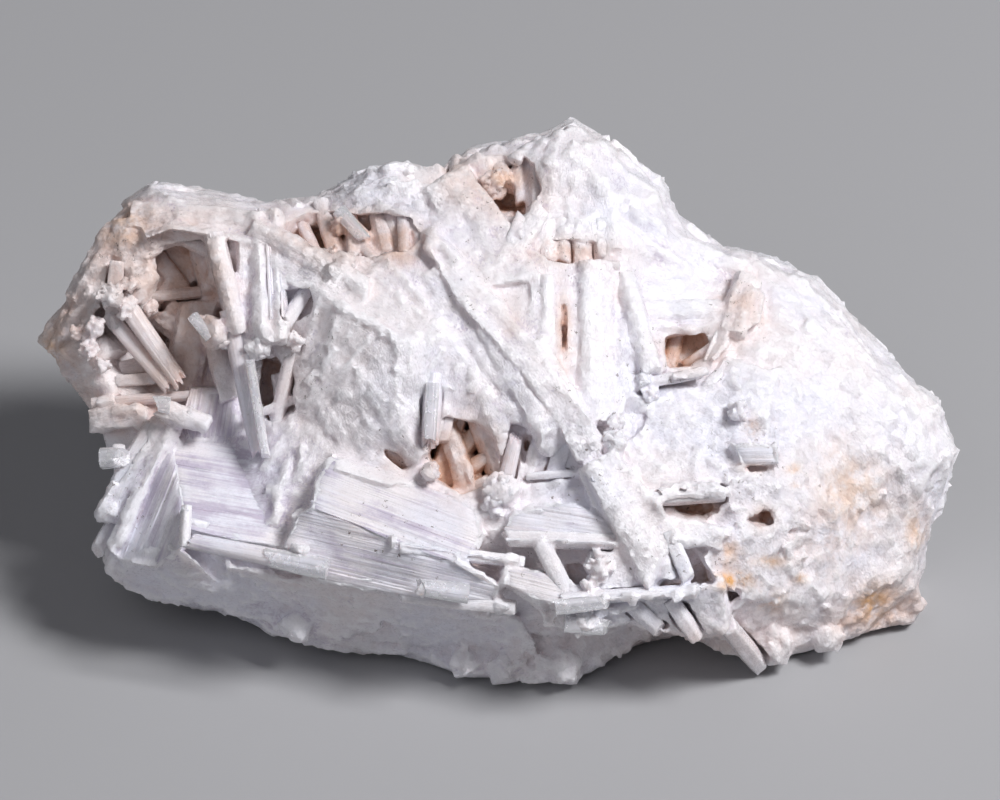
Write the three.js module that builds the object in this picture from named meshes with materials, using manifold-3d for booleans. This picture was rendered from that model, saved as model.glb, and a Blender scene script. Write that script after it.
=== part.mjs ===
// A natural cluster of white cancrinite, 100 mm across: prismatic and bladed
// crystals grown together on a massive ground, in one piece.
//
// Frame: millimetres, +X right, +Y back, +Z up. The origin is under the middle of
// the cluster, on the surface that it rests on.
//
// The cluster has a display face that leans back. Its features are laid out in face
// coordinates: u runs across the face, v up it, and w stands out of it.

import * as THREE from "three";
import { mergeVertices } from "three/addons/utils/BufferGeometryUtils.js";
import Module from "manifold-3d";

const NAME = "crystal_cluster";
const FACE_LEAN = THREE.MathUtils.degToRad(38); // the face leans this far back from upright
const REST_HEIGHT = -25; // the resting surface, in height from the middle of the face
const BLOCK_SIZE = 200; // of the block under the resting surface, larger than the cluster
const SEED = 41;

// ---------------------------------------------------------------- the ground mass

const CENTRE = [1, -1]; // the rim is star-shaped about this point

// The rim of the cluster, seen square to the face: u, v and w, clockwise from the left tip.
const RIM = [
  [-50, 6.2, -4], [-49.4, 8.6, -4], [-47.9, 10.2, -4], [-46.2, 12.6, -4],
  [-44.6, 15, -4], [-44.3, 16.6, -4], [-42.8, 19, -4], [-41.2, 20.6, -5],
  [-40.4, 22.4, -5], [-38.6, 23.5, -5], [-35.5, 23.3, -4], [-31, 22.5, -4],
  [-28.5, 21.6, -4], [-25.6, 21.7, -6], [-24, 20.9, -7], [-22, 21.6, -7],
  [-19, 22.3, -6], [-17, 23.6, -5], [-15.3, 24.8, -5], [-12.6, 25.5, -5],
  [-10, 26, -5], [-8.8, 24.8, -5], [-7.2, 24.2, -7], [-5.8, 25.2, -8],
  [-4.6, 26.6, -8], [-2.2, 27.6, -8], [0.8, 28.1, -8], [4, 28.9, -7],
  [6.6, 30.1, -7], [8.3, 30.8, -7], [9.6, 29.7, -7], [11.4, 28.6, -7],
  [13.6, 26.8, -8], [16, 25.1, -8], [17.8, 23.9, -9], [18.8, 21.9, -9],
  [19.8, 19.9, -9], [22, 18.2, -9], [24.2, 16.9, -9], [26.6, 16, -9],
  [29.2, 15.6, -9], [32, 14, -9], [34.2, 13.2, -9], [35.8, 11.9, -9],
  [38, 10, -8], [40.4, 7.9, -8], [42.2, 6.2, -8], [43.6, 3.8, -8],
  [44.4, 2.2, -8], [46.2, 0.9, -7], [48.3, 0, -6], [49.4, -2.2, -5],
  [50, -5.6, -4], [49.4, -8.4, -4], [48.6, -11.2, -5], [47.6, -13.4, -6],
  [46.2, -14.6, -7], [45.8, -17.4, -8], [46, -20, -8], [46.4, -22.4, -8],
  [45.6, -24.5, -9], [42, -25.3, -8], [39, -26.1, -7], [36.4, -27.4, -6],
  [33, -28, -5], [30, -28.7, -4], [27.6, -28.8, -4], [25.6, -28, -4],
  [24.2, -26, -4], [21.6, -25.8, -5], [18.4, -26.2, -5], [15, -27, -4],
  [12, -28.6, -2], [9, -30.3, -1], [5.6, -31.4, 0], [2.4, -30.6, 0],
  [-1.6, -30.7, 0], [-4.8, -29.9, -1], [-7.4, -28.7, -2], [-11, -27.7, -3],
  [-16, -27.7, -3], [-20, -27.2, -3], [-22.6, -25.8, -2], [-25.8, -25.2, -2],
  [-28.4, -23.4, -2], [-31, -22.8, -1], [-35, -22.4, -1], [-38.2, -21.4, -1],
  [-40.6, -19.8, -1], [-42.8, -18.2, -1], [-43.2, -16, -2], [-42.6, -13.4, -3],
  [-42, -10.4, -4], [-42, -7.6, -5], [-42.8, -5, -5], [-44, -2.4, -5],
  [-45.8, -0.2, -5], [-47.2, 2.6, -5], [-48.6, 4.8, -5],
];

const FRONT = 7; // w of the face away from its features
const BACK = -26; // w of the back, likewise
const FRONT_ROUNDING = 0.75; // 1 is an ellipsoid's edge, 0 a slab's
const BACK_ROUNDING = 0.6;
const GROUND_DETAIL = 7; // subdivisions of the icosahedron that becomes the ground
const ROUGHNESS = 0.5; // how far its corners stray

// Broad swells: u, v, half-widths across and up, and height in w.
const FRONT_SWELLS = [
  [-35, 5, 9, 10, -10],
  [-12, -14, 14, 6, 5],
  [-13, 4, 7.5, 10, 5],
  [3, 2, 8, 8, 3],
  [16, -14, 13, 7, 6],
  [2, 22, 12, 6, -3],
  [26, 12, 10, 6, -3],
  [-6, -27, 24, 3.6, -5],
];
const BACK_SWELLS = [
  [-4, -9, 30, 6, -6],
  [-28, 4, 10, 9, 4],
  [-6, 12, 9, 7, 3],
  [22, 3, 10, 8, -3],
  [36, -6, 7, 7, 4],
  [8, -20, 9, 4, 4],
  [-22, -20, 8, 4, 3],
];

// ---------------------------------------------------------------- flat-faced blocks

const BLOCK_FLARE = 1.1; // how much wider a block is at its root than at its face

// Each block's depth, and the corners of its face.
const BLOCKS = [
  // the two ends of the striated block at the lower left, and the lobe below it
  [10, [[-36, -4.2, 2], [-29, -4.9, 2.5], [-25, -6.4, 3], [-21, -8.2, 3], [-22, -12, 6.5],
    [-23.8, -16, 9], [-29, -15.3, 9.5], [-34.4, -14, 9.5], [-35.4, -9, 6]]],
  [8, [[-36.2, -4.2, 2.5], [-35.2, -9, 6.2], [-34.4, -14, 9.7], [-34.8, -16, 9.5],
    [-38, -18.2, 6.5], [-43, -17.2, 2.5], [-41.8, -14.2, 2.5], [-39, -11.5, 3.5], [-38, -8, 3.5]]],
  [8, [[-35, -16.4, 8.8], [-39, -17.6, 5.6], [-43.2, -17.6, 2.2], [-42.6, -19, 1.5],
    [-41, -20.1, 1], [-38.2, -21.6, 0.5], [-35, -22.2, 0], [-32, -22.8, 0], [-30.2, -22.7, 0],
    [-31, -20, 4], [-33, -18, 7]]],
  [6, [[-35, -2, 2.4], [-34, 1.2, 1.2], [-29.5, 1.4, 1.4], [-28.6, -4.4, 2.2], [-34, -4.4, 2.4]]],
  // the striated ledge along the front: its top and its front
  [9, [[-18.4, -6.2, 9.5], [-13, -7.8, 9.8], [-7, -9.8, 10], [-2.6, -12, 10.4], [-2, -14.6, 11.6],
    [-3.6, -18, 13.4], [-10, -16.2, 13.6], [-16, -13.4, 13.2], [-20.6, -11.8, 12.6], [-20, -8.8, 11]]],
  [8, [[-20.6, -11.8, 12.5], [-16, -13.4, 13.1], [-10, -16.2, 13.5], [-3.6, -18, 13.3],
    [0, -20.4, 12.4], [-1, -22, 11], [-7, -21.9, 10.6], [-14, -20.6, 10.4], [-20, -19.6, 10.4],
    [-23.6, -16.2, 11], [-22, -12.6, 11.4]]],
  // the underside below it
  [7, [[-30, -18, 6], [-20, -20, 7], [-14, -21.2, 7], [-13, -25, 2.5], [-20, -26.8, -1],
    [-25, -25.6, -1], [-29, -23, 0]]],
  [7, [[-14, -21.4, 6.6], [-4, -22.6, 6.4], [2, -24, 6], [4, -28, 2], [0, -30.8, -1],
    [-5, -30, -1.5], [-10, -28, -2]]],
  // druse on the wall of the left hollow
  [14, [[-46.4, 10.6, -3], [-43.8, 13.8, -1], [-42, 15, 0], [-39.2, 13, 0.6], [-37.6, 10.4, 1],
    [-40.4, 9, 1.2], [-43, 9.6, 0]]],
  [12, [[-46.6, 5.4, -3.4], [-46, 9, -3], [-44, 9.9, -1], [-42.4, 8.2, -0.4], [-43, 5.6, -1],
    [-42.4, 3, -1], [-45.4, 4.2, -2.4]]],
  // the speckled side of the waist
  [6, [[-23.4, 7.6, 4], [-18.4, 8, 8], [-18.6, 4, 8], [-20.2, 0.6, 7], [-22, 0.4, 4], [-23, 4, 4]]],
  // the arch over the left hollow, and the blade that runs down from it
  [7, [[-41, 21.6, -3], [-38.6, 23.4, -5], [-35, 23.2, -5], [-30, 22.2, -4], [-24.4, 20.6, -2],
    [-23.6, 18, 3], [-27, 17, 4.4], [-31.4, 18, 4], [-35.8, 18.8, 3], [-38.8, 17.8, 2]]],
  [7, [[-24, 18, 3.4], [-20, 15.8, 5], [-18, 14.6, 6], [-14.4, 13, 7.4], [-15, 10.6, 8.4],
    [-19, 11.2, 7.6], [-22.4, 12.4, 6.4], [-25, 14, 5.4], [-27, 16.6, 4.4]]],
  // the white cap and the great blade below it
  [7, [[-18.8, 22.4, -5], [-15.4, 24.8, -5], [-10, 25.9, -5], [-8.6, 24.4, -4], [-3, 22.4, -2],
    [-2.6, 21, -0.6], [-7, 19.4, 0], [-9.6, 20.4, -0.6], [-13, 20.8, -1], [-15, 21.4, -2]]],
  [6, [[-8.4, 23.6, -2], [-2.6, 22.2, -1], [-1, 19, 1], [1.6, 16, 3], [3.6, 14, 4.4],
    [3.4, 12.2, 5.4], [-1.6, 12, 6.4], [-4, 15, 5.4], [-7.2, 19.2, 3.6]]],
  // the long rib down the middle
  [7, [[-7.9, 16.4, 6], [-7.6, 18.2, 5], [-6.8, 18.3, 5], [-3.2, 14.2, 6.6], [-2.2, 12, 7.6],
    [2.6, 7.4, 9.6], [5.2, 4, 10.6], [7.2, 1, 11.4], [9.8, -2, 12], [11, -5, 12.2],
    [10.4, -7, 12], [8.4, -6.6, 11.8], [6, -2, 11.4], [2.4, 3, 10.8], [-1.4, 7.4, 9.8],
    [-4.4, 10.6, 8.8]]],
  // the peak, and the rim of the hollow beside it
  [8, [[4, 28.6, -7], [6.6, 29.9, -7], [8.2, 30.8, -7], [9.5, 29.6, -7], [12.6, 27.8, -7],
    [13.6, 24, -4.6], [13, 18, -1], [8, 17.6, -0.4], [6.8, 20, -1.6], [5.6, 24, -4]]],
  [6, [[-5.6, 25.2, -8], [-4.6, 26.8, -8.4], [-2, 27.9, -8.6], [2, 28.4, -8.6], [2.4, 27, -7.6],
    [-1, 26, -7], [-3.4, 24.6, -6]]],
  // the long slope on the right
  [8, [[12.6, 27.8, -7], [17.8, 24, -8.6], [19.2, 20.6, -9], [24.4, 16.6, -9], [21.6, 14.6, -3],
    [15, 16, -1], [13, 18, -1], [13.6, 24, -4.6]]],
  [8, [[24.4, 16.6, -9], [29.2, 15.8, -9], [34, 13.6, -9], [38, 9.6, -8], [34, 6, 0],
    [29, 8, 0], [28.4, 12.2, -2], [25, 13.2, -3]]],
  [8, [[38, 9.6, -8], [43, 4.6, -8], [44.4, 2, -7.6], [48, 0.2, -6], [50, -5.4, -4],
    [47, -9, -1.4], [42, -6, 2], [38, 0, 2], [34, 6, 0]]],
  // the massive right
  [8, [[50, -5.8, -4], [48.4, -12, -5], [46.2, -14.8, -6], [45.6, -20, -6], [40, -20, 0],
    [38, -12, 4], [42, -6, 2], [47, -9, -1.4]]],
  [8, [[34, 6, 0], [38, 0, 2], [42, -6, 2], [38, -12, 4], [34, -14, 6], [30, -9, 9],
    [29, -3, 9], [30, 3, 5]]],
  [8, [[38, -12, 4], [40, -20, 0], [38, -22.6, 0], [33, -22, 4], [31, -16, 8], [34, -14, 6]]],
  [8, [[33, -22, 4], [38, -22.6, 0], [38.6, -26.2, -4], [33, -27.8, -3.6], [28, -28.7, -3],
    [25.2, -27.8, -2], [24.6, -25, 3], [27, -21, 8]]],
  [7, [[40, -20.4, -1], [44, -19, -3], [45.8, -20.2, -5], [46.6, -22.8, -6], [45.6, -24.6, -7],
    [41, -25.3, -6], [38.2, -25.9, -4], [38.2, -22.8, -0.6]]],
  [9, [[15.4, -3.4, 8.6], [17.6, 0.6, 7], [22, 1, 6.6], [24.6, 4.6, 5], [30, 3, 5], [29, -3, 9],
    [30, -9, 9], [25, -10, 11], [19, -10.6, 11.4], [14.5, -8, 11], [13.6, -5, 10]]],
  // upright blades right of the rib
  [6, [[2.4, 11.8, 6], [5.8, 12, 5.4], [6.5, 10, 6], [6.4, 4.4, 8], [5.6, 3.6, 9], [2.4, 7.6, 8]]],
  [7, [[7.8, 13.6, 4.4], [12.6, 14.2, 4], [12.4, 8, 6], [13.8, 4, 7.4], [14.4, 1, 8], [13, -2, 9],
    [10.6, -2.6, 9], [8, -0.4, 9], [6.8, 2, 9], [7.6, 8, 6.8]]],
  [6, [[12.8, 13.2, 2.6], [15.8, 10, 4.4], [17.4, 7, 5.4], [18.2, 3.6, 6.4], [16.6, 1.6, 7.4],
    [15.2, 3.6, 7.4], [14.2, 5.4, 7], [13, 8, 6]]],
  // round the square pit
  [6, [[16, 10.4, 2], [24, 11, 2.4], [24.8, 9.4, 3], [22.6, 8, 4], [17.6, 7.2, 4]]],
  [5, [[22.6, 8, 3.4], [24.8, 8.8, 3.4], [25, 6, 4.4], [23.6, 4.6, 5.4], [20.8, 6.4, 2.6]]],
  [6, [[24.2, 10.2, 2.6], [26, 12.6, 0.8], [27.4, 13.4, 0], [29, 11.6, 1.6], [28.6, 8.6, 3.4],
    [26, 7.4, 4], [24.8, 8, 3.6]]],
  // the stout smooth crystal, and what crosses it
  [7, [[8.6, -7.6, 12], [13, -6.2, 12.4], [14.6, -8, 12.6], [19, -14, 13], [20, -19.4, 13],
    [17, -19.6, 12.6], [13.6, -15.6, 12.4], [10, -11.4, 12]]],
  [5, [[17, -12.3, 12.4], [21, -13, 12], [24.4, -14.2, 11.6], [24.2, -16.4, 11.6], [20.4, -15.4, 12.6]]],
  [4, [[24.8, -10.8, 10.6], [27, -13, 10.4], [25, -14.6, 10.4], [22.6, -13.2, 9.6]]],
  [4, [[25.5, -5, 11], [30, -4.8, 10.6], [30.4, -7, 10.4], [26.4, -7.2, 10.6]]],
  [6, [[25, -10.2, 11], [30, -9.2, 9], [34, -14, 6.4], [30.6, -14.2, 8], [29.6, -11.8, 9],
    [27, -12.8, 10.2], [25, -11, 10.6]]],
  [6, [[4, -11.6, 11], [8, -11.2, 11.4], [12, -13, 11.8], [13.4, -15.6, 12], [6, -15, 12],
    [0.4, -14.2, 11.6], [1, -12.6, 11.2]]],
  [6, [[8.9, -18.8, 12.4], [10, -16.4, 12.2], [13, -16.2, 12.2], [16, -18.4, 12.4],
    [17, -20.4, 12.2], [10.4, -20.6, 12.6]]],
  [5, [[0.4, -18.4, 12.6], [5, -18.8, 12.6], [7.4, -20, 12.6], [10, -20.8, 13], [6, -22.4, 13.4],
    [3.4, -21.6, 13], [0.2, -19.8, 12.8]]],
  [5, [[3.6, -21.8, 12.8], [12, -21.6, 13.2], [18, -21.6, 12.6], [21.4, -20.4, 12.4],
    [24, -20, 12], [24.8, -25, 9.6], [21.6, -25.6, 9], [18, -25.2, 9.4], [14, -24, 10],
    [10, -25.4, 10], [7, -24.6, 10.4]]],
  [8, [[24.6, -14.6, 10], [27, -13.4, 10.4], [30.4, -14, 8], [34, -16, 5], [33, -22, 4],
    [27, -21, 8], [24, -20.2, 10.6], [22, -17, 11.4]]],
];

// ---------------------------------------------------------------- pits and lumps

// Cavities cut into the ground and blocks: u, v, w, and half-sizes along each.
const PITS = [
  [-37.4, 8.6, 4, 8.4, 8, 15], [-35.4, 14.2, 2, 4.6, 3.6, 11], [-40.4, -0.8, 3, 4, 2.6, 9],
  [-24.6, 1.6, 6, 2.6, 5, 8], [-23, -6.6, 8, 1.2, 2.2, 6], [-22, 10.4, 9, 2.4, 2, 6],
  [-19.4, 18.4, 3, 5.2, 2.6, 6.6], [-12.4, 18, 4, 4.4, 2.4, 6], [0.8, 23.2, -1, 4.8, 3.4, 6],
  [8, 16.2, 3, 4.4, 1.4, 4], [7, 8, 9, 0.5, 4, 5], [20.3, 5.4, 7, 2.6, 2.1, 8],
  [14.8, 1.8, 9, 0.6, 1.8, 4], [-4, -6.2, 12, 4.6, 4.8, 10], [4.2, -6, 11, 2.4, 2.8, 6],
  [-11, -6.7, 11, 2, 1.2, 5], [21.6, -12, 12, 2.8, 1, 6], [29, -12.8, 9, 1.2, 1, 4],
  [8, -18.6, 14, 1.2, 1.7, 6], [19.7, -23, 12, 1.2, 1.1, 3],
];

// Rounded lumps with a sugary crust: u, v, w and radius.
const LUMPS = [
  [-42.6, 11.6, 2, 1.5], [-31, 7.4, 4.8, 2], [-26.4, 5.8, 6, 1.8], [-41.8, -6.2, 1.4, 1.5],
  [-22, -16.6, 12, 1.3], [-16.8, 15.6, 5.4, 1.3], [-0.6, 23.6, -4, 1.8], [-7.4, -7.8, 10.4, 1.4],
  [0.2, -9.8, 9.6, 2.3], [12.4, -4.6, 10.6, 1.5], [9.4, -24, 11.6, 1.7], [-22.4, -24.6, 1.2, 2.2],
  [-3.6, -28.6, 0.4, 2.2], [0.6, -29, 0.6, 2.4], [7, -29, 1, 2.8], [30, -26.6, -0.6, 2.8],
  [36, -26, -2, 2.2], [-48.6, 7, -5, 2],
];

// ---------------------------------------------------------------- the crystals

// Each is laid from its foot to its tip, and those with several blades are bundles.
// Foot u, v, w, tip u, v, w, width across the face, depth, and blades.
const CRYSTALS = [
  // the outer rim of the left hollow
  [-49.8, 6.4, -6, -44.6, 13.4, -4, 2.6, 4, 1],
  [-46, 11.6, -4, -41.6, 19, -3, 3, 5, 1],
  [-42.6, 17.6, -3, -38.6, 12, 0.4, 3.6, 2.6, 1],
  [-41.4, 17.4, -3, -36.4, 20.6, -1, 2.4, 3, 1],
  // prisms standing free across the hollow
  [-41.4, 11, 0.6, -34.4, 1, 1.8, 2.1, 2, 1],
  [-42.8, 9, -0.8, -35.8, 0.6, 1.4, 1.7, 1.7, 1],
  [-42, 2.1, -1.4, -35.6, 2.8, -0.4, 1.5, 1.6, 1],
  [-44.4, -0.3, -1, -28, 1, 1.6, 1.2, 1.4, 1],
  [-44.6, -2, -2, -38.4, -1.6, 0, 2.6, 2.4, 1],
  [-38.6, 17, -4, -34.8, 12, -3.4, 2, 2, 1],
  [-36, 18.3, -1.4, -31.4, 16, 0.4, 1.6, 1.8, 1],
  [-39, 11.3, -2.6, -31, 12.1, -2.6, 1.3, 1.8, 1],
  [-37, 9.6, -5, -30.6, 5.4, -5, 4, 6, 1],
  [-42.6, 9.6, -1, -42, 15.2, 0, 1.8, 1.6, 1],
  // the upright prisms that close the hollow
  [-31.2, 17.8, 3.6, -28.5, 7, 6.4, 2.3, 2.2, 1],
  [-29.6, 9.4, 5.6, -26.2, -6.8, 5.4, 2, 1.9, 1],
  [-27.7, 4.6, 5.8, -25.5, -6.9, 5.8, 1, 1.6, 1],
  [-25.7, 20.4, 1.6, -24.9, 6.4, 7.2, 3.8, 4, 2],
  [-27.8, 17, 2.6, -27.4, 6.4, 5, 2.4, 2.6, 1],
  [-24, 2, 1, -22, -8, 2, 2.4, 2.4, 1],
  // the fan at the lower left
  [-32.8, -2.5, 4, -37, -0.9, 4.2, 2.4, 2.2, 1],
  [-35.6, -2.6, 2.6, -42.6, -16.6, 3.2, 1.9, 3, 1],
  [-37, -2.4, 1.6, -43.7, -13.4, 1.6, 2.3, 3, 1],
  [-38.2, -3, 1, -42.3, -9.6, 0.8, 2.2, 3, 1],
  [-42.6, -13.6, 0, -44.3, -16.6, 0.4, 1.8, 2, 1],
  [-19.6, -18.2, 12.4, -35, -15.1, 10.6, 2, 1.8, 1],
  [-34.2, -11.8, 9.4, -34.4, -16, 10.6, 1.3, 1.6, 1],
  // glassy prisms along the ledge
  [-3.8, -21, 12.8, -8.8, -20.4, 13, 1.8, 1.8, 1],
  [1, -22.6, 10, -11, -21.6, 9, 1.6, 3, 1],
  [2, -17.6, 11.6, -12, -15.4, 13.4, 1.8, 2, 1],
  // beige prisms under the white cap
  [-12, 21, -1, -10.6, 15.8, 2, 2.6, 2.2, 1],
  [-9.2, 20.4, 0, -8.8, 15.8, 3, 2.2, 2.2, 1],
  [-17.4, 20.6, -1.6, -14.4, 17.6, 1.6, 1.3, 1.6, 1],
  [-15.6, 17.6, 0, -13.6, 15, 3.4, 1.6, 2, 1],
  // under the peak
  [4.6, 21, -1, 1, 15.6, 3.6, 2.4, 2, 1],
  [-4.8, 26.4, -7.4, -5, 22.6, -3, 1.6, 1.8, 1],
  [3.6, 14.6, 3, 13, 14.7, 3, 1.2, 3, 1],
  [15, 1.8, 7.2, 22.4, 2.9, 6.4, 1.8, 2.4, 1],
  [23.8, 6.2, 3, 20.2, 3.6, 1.6, 1.2, 2, 1],
  // in the middle hollow
  [-7.3, 2.4, 8.6, -7.7, -5.6, 10.4, 1.9, 1.8, 1],
  [-5, 1.6, 7, -6.2, -4.6, 8.4, 1.4, 1.6, 1],
  [-13, -0.6, 8.6, -8.4, -6.4, 8.8, 3, 3, 1],
  [-3, -10.6, 5, -5.4, -3, 5.4, 2.6, 5, 1],
  [0, -8.6, 5, -2.4, -2, 5.6, 2.6, 5, 1],
  [0.4, -9.6, 9, 2, -3, 8.8, 1.7, 1.7, 1],
  [7, -9.6, 6.6, 4, -2.6, 6.4, 3.6, 2.6, 1],
  [8.6, -8, 9.6, 2.6, -8.5, 9.6, 1.1, 1.4, 1],
  // crossing prisms of the lower right
  [14, -15.6, 11.4, 0.6, -15.2, 12, 1.8, 3, 1],
  [7, -20.4, 12, 4.6, -15.4, 12, 2, 2, 1],
  [21.4, -20.7, 13, 6, -22.2, 13.8, 1.6, 1.8, 1],
  [14, -22, 10.6, 17.4, -25.2, 9.4, 2, 2.4, 1],
  [18.6, -21.8, 10.6, 21.6, -25.9, 8.2, 2, 2.4, 1],
  [15.6, -10.8, 11.4, 25, -9.9, 11.4, 2.2, 3, 1],
  [25, -24.8, 6, 28.4, -28.6, -1, 2.2, 3, 1],
  [18.6, -15, 12, 20.6, -19.6, 12.6, 1.8, 2.4, 1],
];

// Crystals over the sides and the back, lying at random, half sunk in the ground.
const BACK_CRYSTALS = 15;
const BACK_CRYSTAL_LENGTH = [9, 22];
const BACK_CRYSTAL_WIDTH = [3.5, 8];
const BACK_CRYSTAL_TILT = 0.32; // how far they rise out of the ground
const BACK_CRYSTAL_SINK = 0.28; // how deep their axes lie, as a share of their width

// ---------------------------------------------------------------- helpers

const wasm = await Module();
wasm.setup();

const faceToWorld = new THREE.Matrix4().makeRotationX(Math.PI / 2 - FACE_LEAN);

let randomState = SEED;
function random() {
  randomState = (randomState * 1664525 + 1013904223) >>> 0;
  return randomState / 4294967296;
}

const between = (low, high) => low + (high - low) * random();

const anyDirection = () => new THREE.Vector3(between(-1, 1), between(-1, 1), between(-1, 1));

// A geometry with only its positions, and with its shared vertices merged.
function merged(geometry) {
  const bare = new THREE.BufferGeometry().setAttribute("position", geometry.getAttribute("position"));
  if (geometry.index) bare.setIndex(geometry.index);
  return mergeVertices(bare, 1e-4);
}

// A closed geometry as a manifold-3d solid.
function solid(geometry) {
  const { attributes, index } = merged(geometry);
  return new wasm.Manifold(
    new wasm.Mesh({
      numProp: 3,
      vertProperties: attributes.position.array,
      triVerts: new Uint32Array(index.array),
    }),
  );
}

function geometryOf(made) {
  const mesh = made.getMesh();
  return new THREE.BufferGeometry()
    .setAttribute("position", new THREE.BufferAttribute(new Float32Array(mesh.vertProperties), 3))
    .setIndex(new THREE.BufferAttribute(new Uint32Array(mesh.triVerts), 1));
}

// A ball with faceted sides, each corner of which is placed by a function of its direction.
function ballSolid(detail, place) {
  const ball = merged(new THREE.IcosahedronGeometry(1, detail));
  const corners = ball.getAttribute("position");
  for (let i = 0; i < corners.count; i++) {
    const { x, y, z } = place(new THREE.Vector3().fromBufferAttribute(corners, i).normalize());
    corners.setXYZ(i, x, y, z);
  }
  return solid(ball);
}

// ---------------------------------------------------------------- the ground

// Distance and w of the rim from the centre, in the direction of an angle.
function rimAt(angle) {
  const direction = new THREE.Vector2(Math.cos(angle), Math.sin(angle));
  for (let i = 0; i < RIM.length; i++) {
    const [au, av, aw] = RIM[i];
    const [bu, bv, bw] = RIM[(i + 1) % RIM.length];
    const a = new THREE.Vector2(au - CENTRE[0], av - CENTRE[1]);
    const b = new THREE.Vector2(bu - CENTRE[0], bv - CENTRE[1]);
    const sideA = direction.cross(a);
    const sideB = direction.cross(b);
    if (sideA < 0 || sideB > 0 || sideA === sideB || direction.dot(a) < 0) continue;
    const share = sideA / (sideA - sideB);
    return { radius: a.lerp(b, share).length(), w: aw + (bw - aw) * share };
  }
  throw new Error("the rim has a gap at " + angle);
}

function relief(level, swells, u, v) {
  let sum = level;
  for (const [swellU, swellV, across, up, rise] of swells) {
    sum += rise * Math.exp(-(((u - swellU) / across) ** 2) - ((v - swellV) / up) ** 2);
  }
  return sum;
}

// The ground's surface in a direction from its centre, where x and y point across the face.
function groundPoint(direction) {
  const share = Math.hypot(direction.x, direction.y);
  const angle = Math.atan2(direction.y, direction.x);
  const rim = rimAt(angle);
  const u = CENTRE[0] + rim.radius * share * Math.cos(angle);
  const v = CENTRE[1] + rim.radius * share * Math.sin(angle);
  const inFront = direction.z > 0;
  const level = inFront ? relief(FRONT, FRONT_SWELLS, u, v) : relief(BACK, BACK_SWELLS, u, v);
  const rounding = inFront ? FRONT_ROUNDING : BACK_ROUNDING;
  return new THREE.Vector3(u, v, rim.w + (level - rim.w) * Math.abs(direction.z) ** rounding);
}

function groundSolid() {
  return ballSolid(GROUND_DETAIL, (direction) =>
    groundPoint(direction).addScaledVector(anyDirection(), ROUGHNESS),
  );
}

const LUMP_SPREAD = [0.84, 1.16]; // how far a lump's corners stray from its radius

function lumpSolid([u, v, w, radius]) {
  return ballSolid(0, (direction) =>
    direction.multiplyScalar(radius * between(...LUMP_SPREAD)).add(new THREE.Vector3(u, v, w)),
  );
}

const LARGE_PIT = 5; // pits wider than this have more facets

function pitSolid([u, v, w, across, up, out]) {
  return ballSolid(across > LARGE_PIT ? 1 : 0, (direction) =>
    direction
      .multiply(new THREE.Vector3(across, up, out))
      .multiplyScalar(between(...LUMP_SPREAD))
      .add(new THREE.Vector3(u, v, w)),
  );
}

// A block behind a many-cornered face, a little wider at its root.
function blockSolid([depth, corners]) {
  const turned = THREE.ShapeUtils.isClockWise(corners.map(([u, v]) => new THREE.Vector2(u, v)));
  const face = turned ? corners.toReversed() : corners;
  const outline = face.map(([u, v]) => new THREE.Vector2(u, v));
  const middle = outline.reduce((sum, corner) => sum.add(corner), new THREE.Vector2());
  middle.divideScalar(outline.length);
  const root = outline.map((corner) => corner.clone().sub(middle).multiplyScalar(BLOCK_FLARE).add(middle));
  const sunk = Math.min(...face.map(([, , w]) => w)) - depth;
  const count = face.length;
  const sides = [];
  for (const [a, b, c] of THREE.ShapeUtils.triangulateShape(outline, [])) {
    const flipped = THREE.ShapeUtils.isClockWise([outline[a], outline[b], outline[c]]);
    const [first, second] = flipped ? [b, a] : [a, b];
    sides.push(first, second, c, count + second, count + first, count + c);
  }
  for (let i = 0; i < count; i++) {
    const next = (i + 1) % count;
    sides.push(next, i, count + i, next, count + i, count + next);
  }
  const places = [...face.flat(), ...root.flatMap(({ x, y }) => [x, y, sunk])];
  const block = new THREE.BufferGeometry();
  block.setAttribute("position", new THREE.Float32BufferAttribute(places, 3));
  block.setIndex(sides);
  return solid(block);
}

// ---------------------------------------------------------------- crystal shapes

const SLENDER = 2.2; // crystals narrower than this have five sides and a flat end
const TIP_SHARE = 0.72; // a tip's width as a share of its crystal's
const TIP_BEVEL = 0.35; // its height as a share of the crystal's depth
const TIP_SLANT = [-0.5, 0.5]; // how a tip is broken across

// A many-sided blade from foot to tip.
function bladeSolid(foot, tip, across, width, depth, sides = width < SLENDER ? 5 : 6) {
  const axis = tip.clone().sub(foot);
  const length = axis.length();
  axis.normalize();
  const bevelled = sides === 6;
  const bevel = bevelled ? Math.min(TIP_BEVEL * depth, 0.3 * length) : 0;
  const tipRadius = bevelled ? [new THREE.Vector2(0.5 * TIP_SHARE, length)] : [];
  const profile = [
    new THREE.Vector2(0, 0),
    new THREE.Vector2(0.5, 0),
    new THREE.Vector2(0.5, length - bevel),
    ...tipRadius,
    new THREE.Vector2(0, length),
  ];
  const blade = new THREE.LatheGeometry(profile, sides);
  const slant = between(...TIP_SLANT);
  const places = blade.getAttribute("position");
  for (let i = 0; i < places.count; i++) {
    const rise = places.getY(i) > 0 ? slant * width * places.getX(i) : 0;
    places.setXYZ(i, places.getX(i) * width, places.getY(i) + rise, places.getZ(i) * depth);
  }
  const side = across.clone().addScaledVector(axis, -across.dot(axis)).normalize();
  const out = new THREE.Vector3().crossVectors(side, axis);
  blade.applyMatrix4(new THREE.Matrix4().makeBasis(side, axis, out).setPosition(foot));
  return solid(blade);
}

const BUNDLE_OVERLAP = 1.25; // blades of a bundle are this much wider than their share
const BUNDLE_STEP = [-0.08, 0.04]; // how far their tips differ, as a share of their length
const BUNDLE_DEPTH = [0.8, 1.1];

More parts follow.
